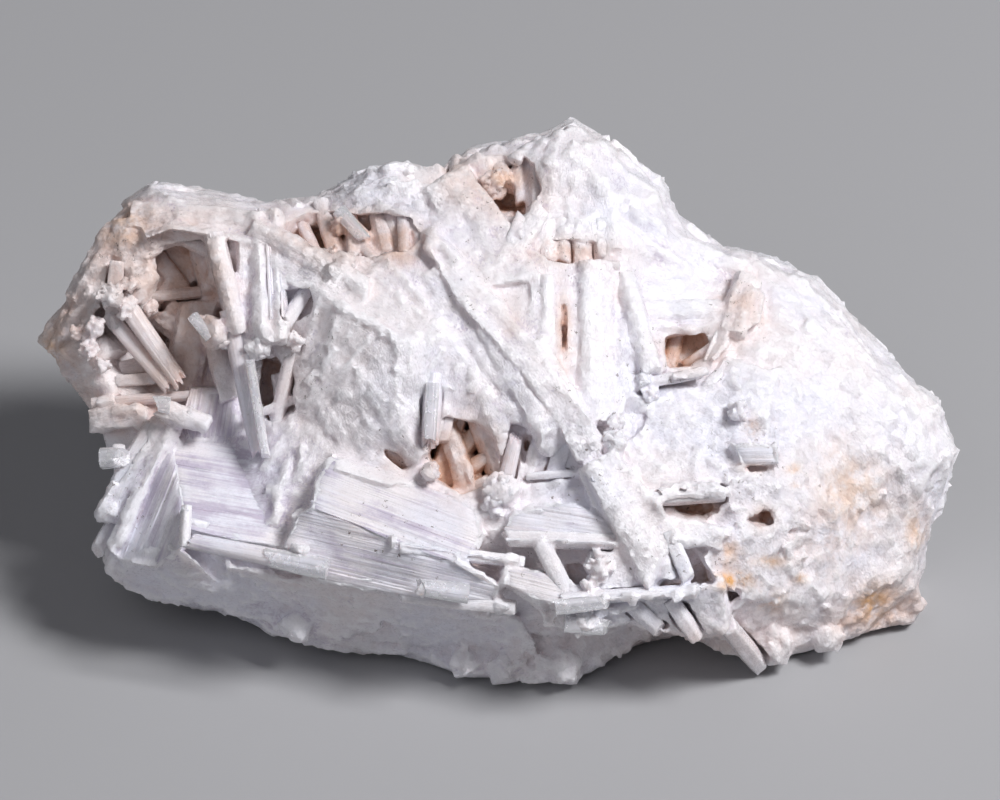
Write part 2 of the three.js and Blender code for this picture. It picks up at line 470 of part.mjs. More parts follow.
// The blades of one crystal, side by side.
function crystalSolids([footU, footV, footW, tipU, tipV, tipW, width, depth, blades]) {
  const foot = new THREE.Vector3(footU, footV, footW);
  const tip = new THREE.Vector3(tipU, tipV, tipW);
  const axis = tip.clone().sub(foot);
  const across = new THREE.Vector3(axis.y, -axis.x, 0).normalize();
  if (blades === 1) return [bladeSolid(foot, tip, across, width, depth)];
  return Array.from({ length: blades }, (_, i) => {
    const shift = across.clone().multiplyScalar(((i + 0.5) / blades - 0.5) * width);
    const end = tip.clone().addScaledVector(axis, between(...BUNDLE_STEP)).add(shift);
    const share = (width / blades) * BUNDLE_OVERLAP;
    return bladeSolid(foot.clone().add(shift), end, across, share, depth * between(...BUNDLE_DEPTH));
  });
}

function insideRim({ x, y }, margin) {
  const reach = Math.hypot(x - CENTRE[0], y - CENTRE[1]);
  return reach + margin < rimAt(Math.atan2(y - CENTRE[1], x - CENTRE[0])).radius;
}

// A crystal lying on the side or the back of the ground.
function backCrystalSolid() {
  const height = between(-1, -0.3);
  const angle = between(-Math.PI, Math.PI);
  const flat = Math.sqrt(1 - height * height);
  const outward = new THREE.Vector3(flat * Math.cos(angle), flat * Math.sin(angle), height);
  const along = anyDirection().cross(outward).normalize().addScaledVector(outward, BACK_CRYSTAL_TILT);
  const length = between(...BACK_CRYSTAL_LENGTH);
  const width = between(...BACK_CRYSTAL_WIDTH);
  const middle = groundPoint(outward).addScaledVector(outward, -BACK_CRYSTAL_SINK * width);
  const foot = middle.clone().addScaledVector(along, -length / 2);
  const tip = middle.clone().addScaledVector(along, length / 2);
  if (!insideRim(foot, width / 2) || !insideRim(tip, width / 2)) return backCrystalSolid();
  const across = along.clone().cross(outward).normalize();
  return bladeSolid(foot, tip, across, width, width, 5);
}

// ---------------------------------------------------------------- the whole

// The solid with the sealed gaps between its crystals filled, and loose chips dropped.
function outerSkin(fused) {
  const shells = fused.decompose();
  return shells.reduce((largest, shell) => (shell.volume() > largest.volume() ? shell : largest));
}

const join = (pieces) => pieces.reduce((whole, piece) => whole.add(piece));

// What lies below the resting surface.
function underSolid() {
  const block = new THREE.BoxGeometry(BLOCK_SIZE, BLOCK_SIZE, BLOCK_SIZE);
  block.translate(0, 0, REST_HEIGHT - BLOCK_SIZE / 2);
  block.applyMatrix4(faceToWorld.clone().invert());
  return solid(block);
}

function clusterGeometry() {
  const backCrystals = Array.from({ length: BACK_CRYSTALS }, backCrystalSolid);
  const massive = join([groundSolid(), ...BLOCKS.map(blockSolid), ...backCrystals]);
  const hollowed = massive.subtract(join(PITS.map(pitSolid)));
  const grown = join([hollowed, ...LUMPS.map(lumpSolid), ...CRYSTALS.flatMap(crystalSolids)]);
  const cluster = geometryOf(outerSkin(grown.subtract(underSolid()))).applyMatrix4(faceToWorld);
  cluster.computeBoundingBox();
  const { min, max } = cluster.boundingBox;
  cluster.translate(-(min.x + max.x) / 2, -(min.y + max.y) / 2, -min.z);
  return cluster;
}

const cluster = new THREE.Mesh(
  clusterGeometry(),
  new THREE.MeshStandardMaterial({ color: 0xf1e9e8, roughness: 0.45, metalness: 0 }),
);
cluster.name = NAME;

const specimen = new THREE.Group();
specimen.add(cluster);

export default specimen;
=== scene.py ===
"""A natural cluster of white cancrinite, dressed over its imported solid.

The display face has coordinates of its own, in millimetres: u runs across it, v up it
and w stands out of it. Everything else is in metres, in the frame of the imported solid.
"""

import math
from functools import lru_cache

import bmesh
import bpy
import numpy as np
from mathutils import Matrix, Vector, noise
from mathutils.bvhtree import BVHTree
from mathutils.kdtree import KDTree


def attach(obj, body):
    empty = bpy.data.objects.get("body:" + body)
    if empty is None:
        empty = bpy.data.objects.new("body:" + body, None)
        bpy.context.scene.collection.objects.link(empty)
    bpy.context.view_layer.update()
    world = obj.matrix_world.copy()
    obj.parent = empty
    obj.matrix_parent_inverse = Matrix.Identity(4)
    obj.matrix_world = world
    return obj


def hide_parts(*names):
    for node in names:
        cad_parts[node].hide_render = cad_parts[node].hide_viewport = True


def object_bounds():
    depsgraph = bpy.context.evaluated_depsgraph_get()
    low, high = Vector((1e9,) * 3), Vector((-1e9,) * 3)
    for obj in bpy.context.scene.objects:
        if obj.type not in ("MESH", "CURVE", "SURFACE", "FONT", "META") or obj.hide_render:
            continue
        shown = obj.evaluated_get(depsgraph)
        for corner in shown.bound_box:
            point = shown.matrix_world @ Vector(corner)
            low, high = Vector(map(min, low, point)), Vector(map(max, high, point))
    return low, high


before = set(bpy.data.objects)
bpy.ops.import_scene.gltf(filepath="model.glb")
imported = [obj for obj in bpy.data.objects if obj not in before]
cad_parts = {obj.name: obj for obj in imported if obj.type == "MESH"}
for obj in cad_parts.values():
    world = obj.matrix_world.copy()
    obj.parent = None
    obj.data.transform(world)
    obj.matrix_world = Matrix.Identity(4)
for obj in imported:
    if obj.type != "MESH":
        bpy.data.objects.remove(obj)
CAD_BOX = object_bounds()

bl_info = {
    "name": "Cancrinite crystal cluster",
    "version": (1, 0, 0),
    "blender": (4, 5, 0),
    "location": "View3D > Sidebar > Crystal cluster",
    # The stained hollows are partly painted shade.
    "description": "Builds a cluster of striated white crystals with stained hollows",
    "category": "Object",
}

NODE = "crystal_cluster"
BODY = "root"
MM = 0.001

FACE_LEAN = math.radians(38)
FACE_ORIGIN = np.array((0.054, -4.322, 25.0))
FACE_U = np.array((1.0, 0.0, 0.0))
FACE_V = np.array((0.0, math.sin(FACE_LEAN), math.cos(FACE_LEAN)))
FACE_W = np.array((0.0, -math.cos(FACE_LEAN), math.sin(FACE_LEAN)))

# ---------------------------------------------------------------- the layout of the face

# Foot u, v, w, tip u, v, w, width across the face, depth.
CRYSTALS = [
    # the outer rim of the left hollow
    (-49.8, 6.4, -6, -44.6, 13.4, -4, 2.6, 4),
    (-46, 11.6, -4, -41.6, 19, -3, 3, 5),
    (-42.6, 17.6, -3, -38.6, 12, 0.4, 3.6, 2.6),
    (-41.4, 17.4, -3, -36.4, 20.6, -1, 2.4, 3),
    # prisms standing free across the hollow
    (-41.4, 11, 0.6, -34.4, 1, 1.8, 2.1, 2),
    (-42.8, 9, -0.8, -35.8, 0.6, 1.4, 1.7, 1.7),
    (-42, 2.1, -1.4, -35.6, 2.8, -0.4, 1.5, 1.6),
    (-44.4, -0.3, -1, -28, 1, 1.6, 1.2, 1.4),
    (-44.6, -2, -2, -38.4, -1.6, 0, 2.6, 2.4),
    (-38.6, 17, -4, -34.8, 12, -3.4, 2, 2),
    (-36, 18.3, -1.4, -31.4, 16, 0.4, 1.6, 1.8),
    (-39, 11.3, -2.6, -31, 12.1, -2.6, 1.3, 1.8),
    (-37, 9.6, -5, -30.6, 5.4, -5, 4, 6),
    (-42.6, 9.6, -1, -42, 15.2, 0, 1.8, 1.6),
    # the upright prisms that close the hollow
    (-31.2, 17.8, 3.6, -28.5, 7, 6.4, 2.3, 2.2),
    (-29.6, 9.4, 5.6, -26.2, -6.8, 5.4, 2, 1.9),
    (-27.7, 4.6, 5.8, -25.5, -6.9, 5.8, 1, 1.6),
    (-25.7, 20.4, 1.6, -24.9, 6.4, 7.2, 3.8, 4),
    (-27.8, 17, 2.6, -27.4, 6.4, 5, 2.4, 2.6),
    (-24, 2, 1, -22, -8, 2, 2.4, 2.4),
    # the fan at the lower left
    (-32.8, -2.5, 4, -37, -0.9, 4.2, 2.4, 2.2),
    (-38.2, -3, 1, -42.3, -9.6, 0.8, 2.2, 3),
    (-42.6, -13.6, 0, -44.3, -16.6, 0.4, 1.8, 2),
    (-19.6, -18.2, 12.4, -35, -15.1, 10.6, 2, 1.8),
    (-34.2, -11.8, 9.4, -34.4, -16, 10.6, 1.3, 1.6),
    # glassy prisms along the ledge
    (-3.8, -21, 12.8, -8.8, -20.4, 13, 1.8, 1.8),
    (1, -22.6, 10, -11, -21.6, 9, 1.6, 3),
    (2, -17.6, 11, -11, -15.8, 12.8, 1.5, 2),
    # beige prisms under the white cap
    (-12, 21, -1, -10.6, 15.8, 2, 2.6, 2.2),
    (-9.2, 20.4, 0, -8.8, 15.8, 3, 2.2, 2.2),
    (-17.4, 20.6, -1.6, -14.4, 17.6, 1.6, 1.3, 1.6),
    (-15.6, 17.6, 0, -13.6, 15, 3.4, 1.6, 2),
    # under the peak
    (4.6, 21, -1, 1, 15.6, 3.6, 2.4, 2),
    (-4.8, 26.4, -7.4, -5, 22.6, -3, 1.6, 1.8),
    (15.4, 1.8, 7, 22, 2.9, 6.2, 1.3, 2),
    (23.8, 6.2, 3, 20.2, 3.6, 1.6, 1.2, 2),
    # in the middle hollow
    (-7.3, 2.4, 9.4, -7.7, -5.6, 11.2, 2.1, 2),
    (-5, 1.6, 7, -6.2, -4.6, 8.4, 1.4, 1.6),
    (-13, -0.6, 8.6, -8.4, -6.4, 8.8, 3, 3),
    (-3, -10.6, 5, -5.4, -3, 5.4, 2.6, 5),
    (0, -8.6, 5, -2.4, -2, 5.6, 2.6, 5),
    (0.4, -9.6, 9, 2, -3, 8.8, 1.7, 1.7),
    (7, -9.6, 6.6, 4, -2.6, 6.4, 3.6, 2.6),
    (8.4, -8, 9.3, 3, -8.5, 9.4, 0.9, 1.4),
    # crossing prisms of the lower right
    (14, -15.6, 10.8, 0.6, -15, 11.5, 1.8, 3),
    (7, -20.4, 12, 4.6, -15.4, 12, 2, 2),
    (21.4, -20.7, 12.3, 7, -22.1, 13.2, 1.5, 1.8),
    (14, -22, 10.6, 17.4, -25.2, 9.4, 2, 2.4),
    (18.6, -21.8, 10.6, 21.6, -25.9, 8.2, 2, 2.4),
    (15.6, -10.9, 11, 24.4, -10.2, 10.4, 1.7, 3),
    (25, -24.8, 6, 28.4, -28.6, -1, 2.2, 3),
    (18.6, -15, 12, 20.6, -19.6, 12.6, 1.8, 2.4),
]

# Crystals that fill out the hollows and grow into the ground, in the same measures.
INGROWN = [
    # the great blade, the rib below it and the broad columns right of them
    (-5.8, 23.6, -0.4, 1.6, 12.4, 6, 6.6, 3), (-7.6, 17.9, 3.4, -2, 11.4, 6.1, 2.3, 2.6),
    (-3, 12.4, 5.9, 4.6, 4.2, 9.2, 2.8, 2.8), (3.8, 5.4, 8.7, 10.2, -5.8, 10.6, 3.4, 3),
    (-0.8, 8.2, 7.6, 6.4, -4.6, 10, 4.4, 3), (-6.6, 13.6, 5.2, 2.2, 0.4, 9, 4.6, 3),
    (4.6, 12.6, 5.4, 4.3, 3.4, 8.9, 3.1, 3), (10.1, 14, 3.8, 10.6, -2.8, 9.2, 4.6, 3.6),
    (13.6, 12.8, 3, 16.6, 2.4, 7.2, 2.7, 3), (10.8, -6.8, 11.4, 17.6, -19, 12.4, 4.8, 3.2),
    (16.6, -13.5, 10.9, 24.8, -15, 10.6, 2.4, 2.6), (25.3, 7.6, 2.6, 27.6, 13.4, -0.6, 3.4, 3),
    # the arch and the blade that comes down from it
    (-39.8, 20.2, -1.8, -25.8, 19.4, 1.2, 3.5, 4), (-26.4, 18.4, 2.9, -14.4, 11.6, 7, 3.3, 3),
    # the walls of the left hollow
    (-42.6, 16, -4, -38.6, 8.6, -3, 3, 4), (-40, 18.4, -4.6, -37.4, 12.4, -4, 1.9, 2.4),
    (-34.8, 1.6, -3, -33.2, 11, -2, 4.6, 4), (-37.6, 18.6, -5, -33.4, 13, -5, 2.6, 3),
    (-33.6, 18, -4, -31.6, 11.4, -2, 2.4, 3), (-43.4, 2.6, -3, -37.2, -1, -2, 2.4, 3),
    (-41.4, 3.4, -3.4, -36, 4.4, -3.4, 2, 3), (-47.4, 3.6, -4, -41.8, 6.4, -3, 3, 4),
    (-36.6, 12.8, -3.4, -40.6, 7, -4.4, 1.8, 2), (-31.6, 8, 0, -29.4, 0, 2, 2.4, 3),
    # the back of the recess under the white cap
    (-22.6, 21, -3.6, -20, 15.8, 0.6, 1.5, 2),
    (-19.4, 21, -2.6, -17.4, 15.2, 1.2, 2.1, 3), (-16.4, 21, -1.6, -16.2, 15, 2, 1.3, 3),
    (-13.6, 20.8, -1.2, -12.4, 15.4, 2.4, 2.2, 3), (-10.7, 20.8, -0.2, -10.5, 15.8, 3.4, 1.4, 3),
    (-9, 20.8, 0.4, -8.6, 16, 3.2, 1.6, 3),
    # the tan hollow beside the peak, the fan in it and the shelf below
    (4, 26.4, -3.6, 3.6, 19.6, -1, 2.2, 3), (2.2, 26, -4.4, 2.3, 21.6, -3, 1.9, 3),
    (0, 26, -5, 0.7, 23.4, -3.4, 2, 3), (1.4, 15.4, 4, 4.7, 21, 2.4, 2.5, 2),
    (0.6, 15.6, 4.6, 2.6, 20.2, 2.6, 1.5, 1.6), (4.8, 19.4, 1.8, 5, 15, 2.8, 2, 2.4),
    (6.7, 19.6, 1.4, 6.9, 15, 2.6, 2.1, 2.4), (8.9, 19.6, 1.5, 9.1, 15, 2.3, 2.3, 2.4),
    (11.1, 19.4, 1.2, 11.3, 14.8, 2.4, 2.1, 2.4),
    # blades that spread in the middle hollow
    (-7.2, -8.6, 5.6, -12.2, -1.6, 6.6, 2.2, 3), (-7, -8.6, 4.8, -4.4, -1.2, 5.4, 2, 3),
    (-6.6, -8.8, 4.6, -1.9, -2.6, 5.4, 2.1, 3), (-6, -9.4, 4.6, -0.4, -5.6, 6, 1.9, 3),
    (-5.2, -10.6, 5, -0.6, -8.6, 6.8, 1.8, 3), (-9, -8, 6, -14, -4.2, 7, 1.8, 3),
    (3.2, -9.6, 7, 5.2, -2, 8.2, 2.3, 3), (5.6, -9.8, 7.2, 7.8, -2.8, 8.6, 2.2, 3),
    # right of the upright prisms
    (-25.2, -6, 2.4, -22.4, 5.4, 4.4, 1.7, 2.4), (-26.8, -1.6, 3.2, -21.8, 0.4, 4.2, 1, 1.4),
    (-24.6, 8, 3, -22.4, 4, 4.4, 2.4, 2.6), (-20.4, 13.4, 3.4, -23.6, 8.2, 5.4, 1.7, 2.4),
    (-24.4, -9.4, 5, -22.8, -3.6, 4.6, 1.6, 2),
    # fins in the square pit, and the bar over it
    (24.2, 8.4, 1.4, 22, 3.6, 3.6, 0.9, 3.4), (19.6, 8, 0.6, 18.6, 3.4, 1.6, 1.8, 2),
    (14.4, 9.4, 3.2, 24.4, 10, 1.5, 2.7, 2.6),
]

# u of the feet of the crystals that stand free, one of which is a bundle of fibres.
BUNDLE = -25.7
FREE = (-41.4, -42.8, -44.4, -31.2, -29.6, -27.7, -7.3, 0.4, -19.6, BUNDLE)

# Knobs of small crystals: u, v, w and radius.
KNOBS = [
    (-42.6, 11.6, 2, 1.5), (-41.2, 9.6, 2.2, 1.1), (-38.4, 10.2, 0.2, 1.0), (-44.6, 8, 1, 1.6),
    (-45.2, 5.6, 1.2, 1.5), (-43.6, 3.8, 1, 1.2), (-46.4, 7.4, 0.2, 1.2), (-40.6, 12.6, 1.6, 1.2),
    (-31.4, 7.6, 4.6, 1.5), (-32.6, 8.6, 3.8, 1.1), (-30.2, 6.4, 5.2, 1.2), (-26.4, 5.8, 6.2, 1.6),
    (-41.8, -6.2, 1.4, 1.5), (-19.6, -18.1, 12.6, 1.2), (-18.4, 15.9, 4.8, 1.3),
    (-16.6, 15.3, 5.4, 1.1), (-17.2, 19.4, 1, 1.4), (-0.8, 23.8, -1.6, 1.7), (-7.5, -7.8, 9.8, 1.3),
    (0.2, -9.6, 9.8, 2.1), (-0.6, -11.4, 10.6, 1.6), (12.2, -4.4, 11, 1.4), (11, -18, 12.6, 1.9),
    (9.8, -20.4, 12.6, 1.5), (9.4, -24, 11.8, 1.7), (5.4, -23.6, 12, 1.3), (-22.2, -17.2, 12, 1.2),
    (16.4, 0.6, 7.4, 1.2), (12.6, -2.4, 10.4, 1.2), (26, -1.2, 8.6, 1.5), (-8.4, -20.6, 12.8, 1.1),
    (15.6, 2.6, 7.6, 0.9), (2.4, 18.2, 4, 0.9), (-22.4, 6.4, 6.4, 1.3), (-34.2, -1.6, 4.2, 1.1),
]

# Grain in degrees, width of a lath, and the corners of the face, for each fibrous block.
BLOCKS = [
    # the two ends of the striated block at the lower left, and the blades above it
    (-10, 0.8, ((-36, -4.2, 2), (-29, -4.9, 2.5), (-25, -6.4, 3), (-21, -8.2, 3), (-22, -12, 6.5),
                (-23.8, -16, 9), (-29, -15.3, 9.5), (-34.4, -14, 9.5), (-35.4, -9, 6))),
    (-112, 1.5, ((-36.2, -4.2, 2.5), (-35.2, -9, 6.2), (-34.4, -14, 9.7), (-34.8, -16, 9.5),
                 (-38, -18.2, 6.5), (-43, -17.2, 2.5), (-41.8, -14.2, 2.5), (-39, -11.5, 3.5),
                 (-38, -8, 3.5))),
    (80, 0.9, ((-35, -2, 2.4), (-34, 1.2, 1.2), (-29.5, 1.4, 1.4), (-28.6, -4.4, 2.2),
               (-34, -4.4, 2.4))),
    # the striated ledge along the front: its top and its front
    (-20, 0.8, ((-18.4, -6.2, 9.5), (-13, -7.8, 9.8), (-7, -9.8, 10), (-2.6, -12, 10.4),
                (-2, -14.6, 11.6), (-3.6, -18, 13.4), (-10, -16.2, 13.6), (-16, -13.4, 13.2),
                (-20.6, -11.8, 12.6), (-20, -8.8, 11))),
    (-13, 1.1, ((-20.6, -11.8, 12.5), (-16, -13.4, 13.1), (-10, -16.2, 13.5), (-3.6, -18, 13.3),
                (0, -20.4, 12.4), (-1, -22, 11), (-7, -21.9, 10.6), (-14, -20.6, 10.4),
                (-20, -19.6, 10.4), (-23.6, -16.2, 11), (-22, -12.6, 11.4))),
    # the speckled side of the waist
    (62, 1.5, ((-23.4, 7.6, 4), (-18.4, 8, 8), (-18.6, 4, 8), (-20.2, 0.6, 7), (-22, 0.4, 4),
               (-23, 4, 4))),
    # the arch over the left hollow, and the blade that runs down from it
    (-5, 1.3, ((-41, 21.6, -3), (-38.6, 23.4, -5), (-35, 23.2, -5), (-30, 22.2, -4),
               (-24.4, 20.6, -2), (-23.6, 18, 3), (-27, 17, 4.4), (-31.4, 18, 4), (-35.8, 18.8, 3),
               (-38.8, 17.8, 2))),
    (-27, 1.2, ((-24, 18, 3.4), (-20, 15.8, 5), (-18, 14.6, 6), (-14.4, 13, 7.4), (-15, 10.6, 8.4),
                (-19, 11.2, 7.6), (-22.4, 12.4, 6.4), (-25, 14, 5.4), (-27, 16.6, 4.4))),
    # the great blade, and the long rib below it
    (-50, 2.4, ((-8.4, 23.6, -2), (-2.6, 22.2, -1), (-1, 19, 1), (1.6, 16, 3), (3.6, 14, 4.4),
                (3.4, 12.2, 5.4), (-1.6, 12, 6.4), (-4, 15, 5.4), (-7.2, 19.2, 3.6))),
    (-52, 1.4, ((-7.9, 16.4, 6), (-7.6, 18.2, 5), (-6.8, 18.3, 5), (-3.2, 14.2, 6.6),
                (-2.2, 12, 7.6), (2.6, 7.4, 9.6), (5.2, 4, 10.6), (7.2, 1, 11.4), (9.8, -2, 12),
                (11, -5, 12.2), (10.4, -7, 12), (8.4, -6.6, 11.8), (6, -2, 11.4), (2.4, 3, 10.8),
                (-1.4, 7.4, 9.8), (-4.4, 10.6, 8.8))),
    # the peak, and the long slope on the right
    (84, 2.2, ((4, 28.6, -7), (6.6, 29.9, -7), (8.2, 30.8, -7), (9.5, 29.6, -7), (12.6, 27.8, -7),
               (13.6, 24, -4.6), (13, 18, -1), (8, 17.6, -0.4), (6.8, 20, -1.6), (5.6, 24, -4))),
    (-40, 2.4, ((12.6, 27.8, -7), (17.8, 24, -8.6), (19.2, 20.6, -9), (24.4, 16.6, -9),
                (21.6, 14.6, -3), (15, 16, -1), (13, 18, -1), (13.6, 24, -4.6))),
    (-38, 2.6, ((24.4, 16.6, -9), (29.2, 15.8, -9), (34, 13.6, -9), (38, 9.6, -8), (34, 6, 0),
                (29, 8, 0), (28.4, 12.2, -2), (25, 13.2, -3))),
    # upright blades right of the rib
    (85, 1.2, ((2.4, 11.8, 6), (5.8, 12, 5.4), (6.5, 10, 6), (6.4, 4.4, 8), (5.6, 3.6, 9),
               (2.4, 7.6, 8))),
    (84, 1.6, ((7.8, 13.6, 4.4), (12.6, 14.2, 4), (12.4, 8, 6), (13.8, 4, 7.4), (14.4, 1, 8),
               (13, -2, 9), (10.6, -2.6, 9), (8, -0.4, 9), (6.8, 2, 9), (7.6, 8, 6.8))),
    (-66, 1.3, ((12.8, 13.2, 2.6), (15.8, 10, 4.4), (17.4, 7, 5.4), (18.2, 3.6, 6.4),
                (16.6, 1.6, 7.4), (15.2, 3.6, 7.4), (14.2, 5.4, 7), (13, 8, 6))),
    # round the square pit
    (2, 1.2, ((16, 10.4, 2), (24, 11, 2.4), (24.8, 9.4, 3), (22.6, 8, 4), (17.6, 7.2, 4))),
    (62, 1.0, ((22.6, 8, 3.4), (24.8, 8.8, 3.4), (25, 6, 4.4), (23.6, 4.6, 5.4), (20.8, 6.4, 2.6))),
    (48, 1.0, ((24.2, 10.2, 2.6), (26, 12.6, 0.8), (27.4, 13.4, 0), (29, 11.6, 1.6),
               (28.6, 8.6, 3.4), (26, 7.4, 4), (24.8, 8, 3.6))),
    # the stout smooth crystal, and what crosses it
    (-56, 2.3, ((8.6, -7.6, 12), (13, -6.2, 12.4), (14.6, -8, 12.6), (19, -14, 13), (20, -19.4, 13),
                (17, -19.6, 12.6), (13.6, -15.6, 12.4), (10, -11.4, 12))),
    (-15, 1.2, ((17, -12.3, 12.4), (21, -13, 12), (24.4, -14.2, 11.6), (24.2, -16.4, 11.6),
                (20.4, -15.4, 12.6))),
    (-42, 1.7, ((24.8, -10.8, 10.6), (27, -13, 10.4), (25, -14.6, 10.4), (22.6, -13.2, 9.6))),
    (1, 0.8, ((25.5, -5, 11), (30, -4.8, 10.6), (30.4, -7, 10.4), (26.4, -7.2, 10.6))),
    (-28, 1.3, ((25, -10.2, 11), (30, -9.2, 9), (34, -14, 6.4), (30.6, -14.2, 8), (29.6, -11.8, 9),
                (27, -12.8, 10.2), (25, -11, 10.6))),
    (-9, 1.0, ((4, -11.6, 11), (8, -11.2, 11.4), (12, -13, 11.8), (13.4, -15.6, 12), (6, -15, 12),
               (0.4, -14.2, 11.6), (1, -12.6, 11.2))),
    (-14, 0.9, ((0.4, -18.4, 12.6), (5, -18.8, 12.6), (7.4, -20, 12.6), (10, -20.8, 13),
                (6, -22.4, 13.4), (3.4, -21.6, 13), (0.2, -19.8, 12.8))),
]

# Grain of the ground away from the blocks: u, v, w and angle in degrees.
GUIDES = [
    (-9, 9, 8, -62), (-12, 1, 9, -70), (-17, -2, 8, -60), (-10, -5, 9, -30), (-47, 8, -5, 55),
    (-40, 20, -4, -20), (-35, -19.5, 4, -24), (-38, -20, 1, -20), (-12, 24, -4, -24),
    (-6, 21, -1, -48), (22, 15, -4, -42), (44, 1, -6, -52), (47, -6, -3, -70), (36, 2, 2, -50),
    (31, 0, 6, -60), (33, -9, 6, -58), (38, -16, 1, -62), (44, -13, -4, -70), (43, -22, -4, 10),
    (32, -24, 1, -64), (24, -23, 8, -40), (15, -23, 11, -10), (10, -27, 4, -50), (0, -27, 3, 20),
    (-10, -25, 3, -14), (-22, -23, 4, -28), (20, -5, 10, -40), (25, -2, 8, -30), (29, -17, 9, -45),
    (13, 19, -1, 80), (-33, 9, -6, 40), (-19, 18, -3, -70), (0, 23, -8, 78),
]

# ---------------------------------------------------------------- where the colours lie

# Each stain is u, v, half-widths across and up, and strength.
# The tan stains are partly real stain and partly painted shade, strongest in the recesses and hollows.
TAN_STAINS_AND_SHADE = [
    (-48, 9, 3.4, 5, 0.75), (-43, 17, 3, 4, 0.8), (-39.5, 20.5, 2.6, 2.6, 0.65),
    (-36, 13, 6, 5, 0.8), (-33, 8, 4, 5, 0.6), (-40, -1, 5, 3, 0.5), (-47, 1, 3, 5, 0.45),
    (-33, 20.5, 5, 1.8, 0.25), (-18, 18.4, 5.4, 2.8, 1.1), (-11, 17, 3.4, 2.6, 1),
    (-24.5, 19.5, 2.4, 2.4, 0.3), (0, 23.4, 5, 3.6, 0.75), (-5, 25.6, 2, 2.4, 0.45),
    (7.6, 16.2, 5.4, 1.7, 0.75), (1.2, 8.4, 1.5, 2, 0.45), (7, 8, 0.9, 4.4, 1),
    (20.6, 5.4, 3.4, 2.4, 0.7), (26.6, 10.4, 2.4, 3.4, 0.7), (-4, -6, 5, 5, 0.75),
    (-36.6, 3.4, 5, 4.6, 0.6), (-33, 14, 3, 4, 0.5),
    (-11.2, -6.6, 2.2, 1.6, 0.35), (-23, 2, 2, 5, 0.3), (25, -17, 1.8, 1.8, 0.45),
    (28.6, -12.8, 1.4, 1.3, 0.8), (28, -7.3, 1.9, 0.6, 0.7), (43.4, -22.6, 3.8, 3, 0.95),
    (39, -24.4, 2.8, 1.8, 0.75), (30, -25, 7, 3, 0.25), (20, -27, 7, 2, 0.5),
    (45.6, -13, 2, 3, 0.35), (21.6, -12, 2.6, 1, 0.5), (37, -11, 6, 6, 0.16),
]
RUST_STAINS = [
    (25.4, -19.7, 2.0, 0.9, 1.0), (38.6, -10, 3.6, 4.4, 0.28), (41, -22.4, 1.6, 1.7, 0.8),
    (45.8, -14.6, 1.4, 2, 0.35), (32, -7.5, 0.7, 0.5, 0.6), (32.6, -9.5, 0.6, 0.4, 0.5),
    (27.5, -3, 0.8, 1.2, 0.45), (29.4, -17.6, 1.7, 0.6, 0.5), (29.6, -22, 1.6, 1.2, 0.4),
    (33, -19.5, 0.8, 0.5, 0.5), (-49.6, 5.6, 1.6, 1.8, 0.4), (-41, 19, 2, 2, 0.35),
    (25, -16.6, 1.2, 1.4, 0.3), (36, -16, 4, 4, 0.12), (0.6, 24.6, 2, 1.6, 0.25),
]
DIRT = [
    (-20.4, 8.6, 2.4, 3, 1), (-21, 3, 2.2, 5, 0.9), (8, 16, 5, 1.8, 1), (0.4, 22, 4, 3, 0.9),
    (26.6, 10.4, 3, 3.4, 1), (-12, -15, 8, 3, 0.45), (-40.6, -10, 3, 5, 0.6), (7, 7, 1.6, 5, 0.8),
    (-10, -6, 4, 4, 0.5), (13, 1, 4, 6, 0.4), (-40, 17, 5, 5, 0.7), (20, 4, 5, 3, 0.7),
    (28, -8, 5, 4, 0.6), (24, -19, 5, 4, 0.6), (-2, 12, 6, 6, 0.3), (11, -12, 8, 8, 0.3),
]
SUGARY = [
    (31, -10, 11, 16, 1), (43, -14, 7, 12, 0.8), (22, -2, 8, 5, 0.6), (12, -19, 8, 6, 0.8),
    (14, -25, 12, 4, 0.9), (0, -9, 7, 6, 0.6), (-12, 23.4, 6, 2.6, 0.7), (-42, 12, 6, 8, 0.7),
    (-22, -16.6, 2.4, 3, 0.8), (-8, -22, 9, 2.4, 0.6), (43, -23, 5, 4, 0.8), (-17, 15, 3, 3, 0.6),
    (11.4, -4, 3, 2.4, 0.8), (6, -28, 8, 3, 0.8), (-24, 5, 3, 4, 0.5), (-12, 4, 6, 8, 0.4),
    (-28, -21, 13, 3.6, 0.7), (-6, -26, 10, 3, 0.7),
]

# Where the ground is massive, with shorter blades, and worn smooth.
MASSIVE = [
    (36, -4, 12, 12, 1), (42, -12, 10, 10, 1), (30, 2, 7, 6, 0.9), (32, -18, 9, 7, 0.9),
    (22, -1, 5, 3, 0.7), (-12, 24, 5, 2, 0.5), (-10, 6, 7, 8, 0.5), (12, 24, 5, 5, 0.5),
    (22, 15, 7, 3, 0.6), (-46, 8, 3, 5, 0.5), (-34, -21, 8, 2.4, 0.5),
]
# Clearer, darker crystal; the rows at the lower-left striated block and along the underside are painted
# shade.
GLASSY_AND_SHADED = [
    (-28, -10.5, 9, 6, 0.95), (-38, -11, 4, 6, 0.5), (-31, 0, 4, 4, 0.7), (-38, 3, 5, 5, 0.5),
    (-28, 6, 4, 11, 0.35), (-12, -19, 12, 3, 0.35), (-4, -6, 4, 5, 0.45), (-33, 17, 6, 4, 0.2),
    (23, -13.5, 3, 2.5, 0.5), (-26, -23.4, 14, 2.6, 0.9), (0, -28, 11, 3.4, 0.9),
    (20.5, 5.5, 3.4, 2.6, 0.4), (-17, 18, 4, 3, 0.3),
]

# ---------------------------------------------------------------- sizes that aren't settings

CELL = 0.75  # mm, of the grid that tells hollows from edges
CELL_MARGIN = 8
EDGE_BLUR = 1.1
HOLLOW_BLUR = 3.4
FLOOR_GAP = 0.02
HIDDEN_GRAINS = 46  # places behind, each with a grain of its own
EDGE_HEIGHT = 0.16  # mm, by which a sharp edge stands out of the surface round it
CREASE_DEPTH = 0.2


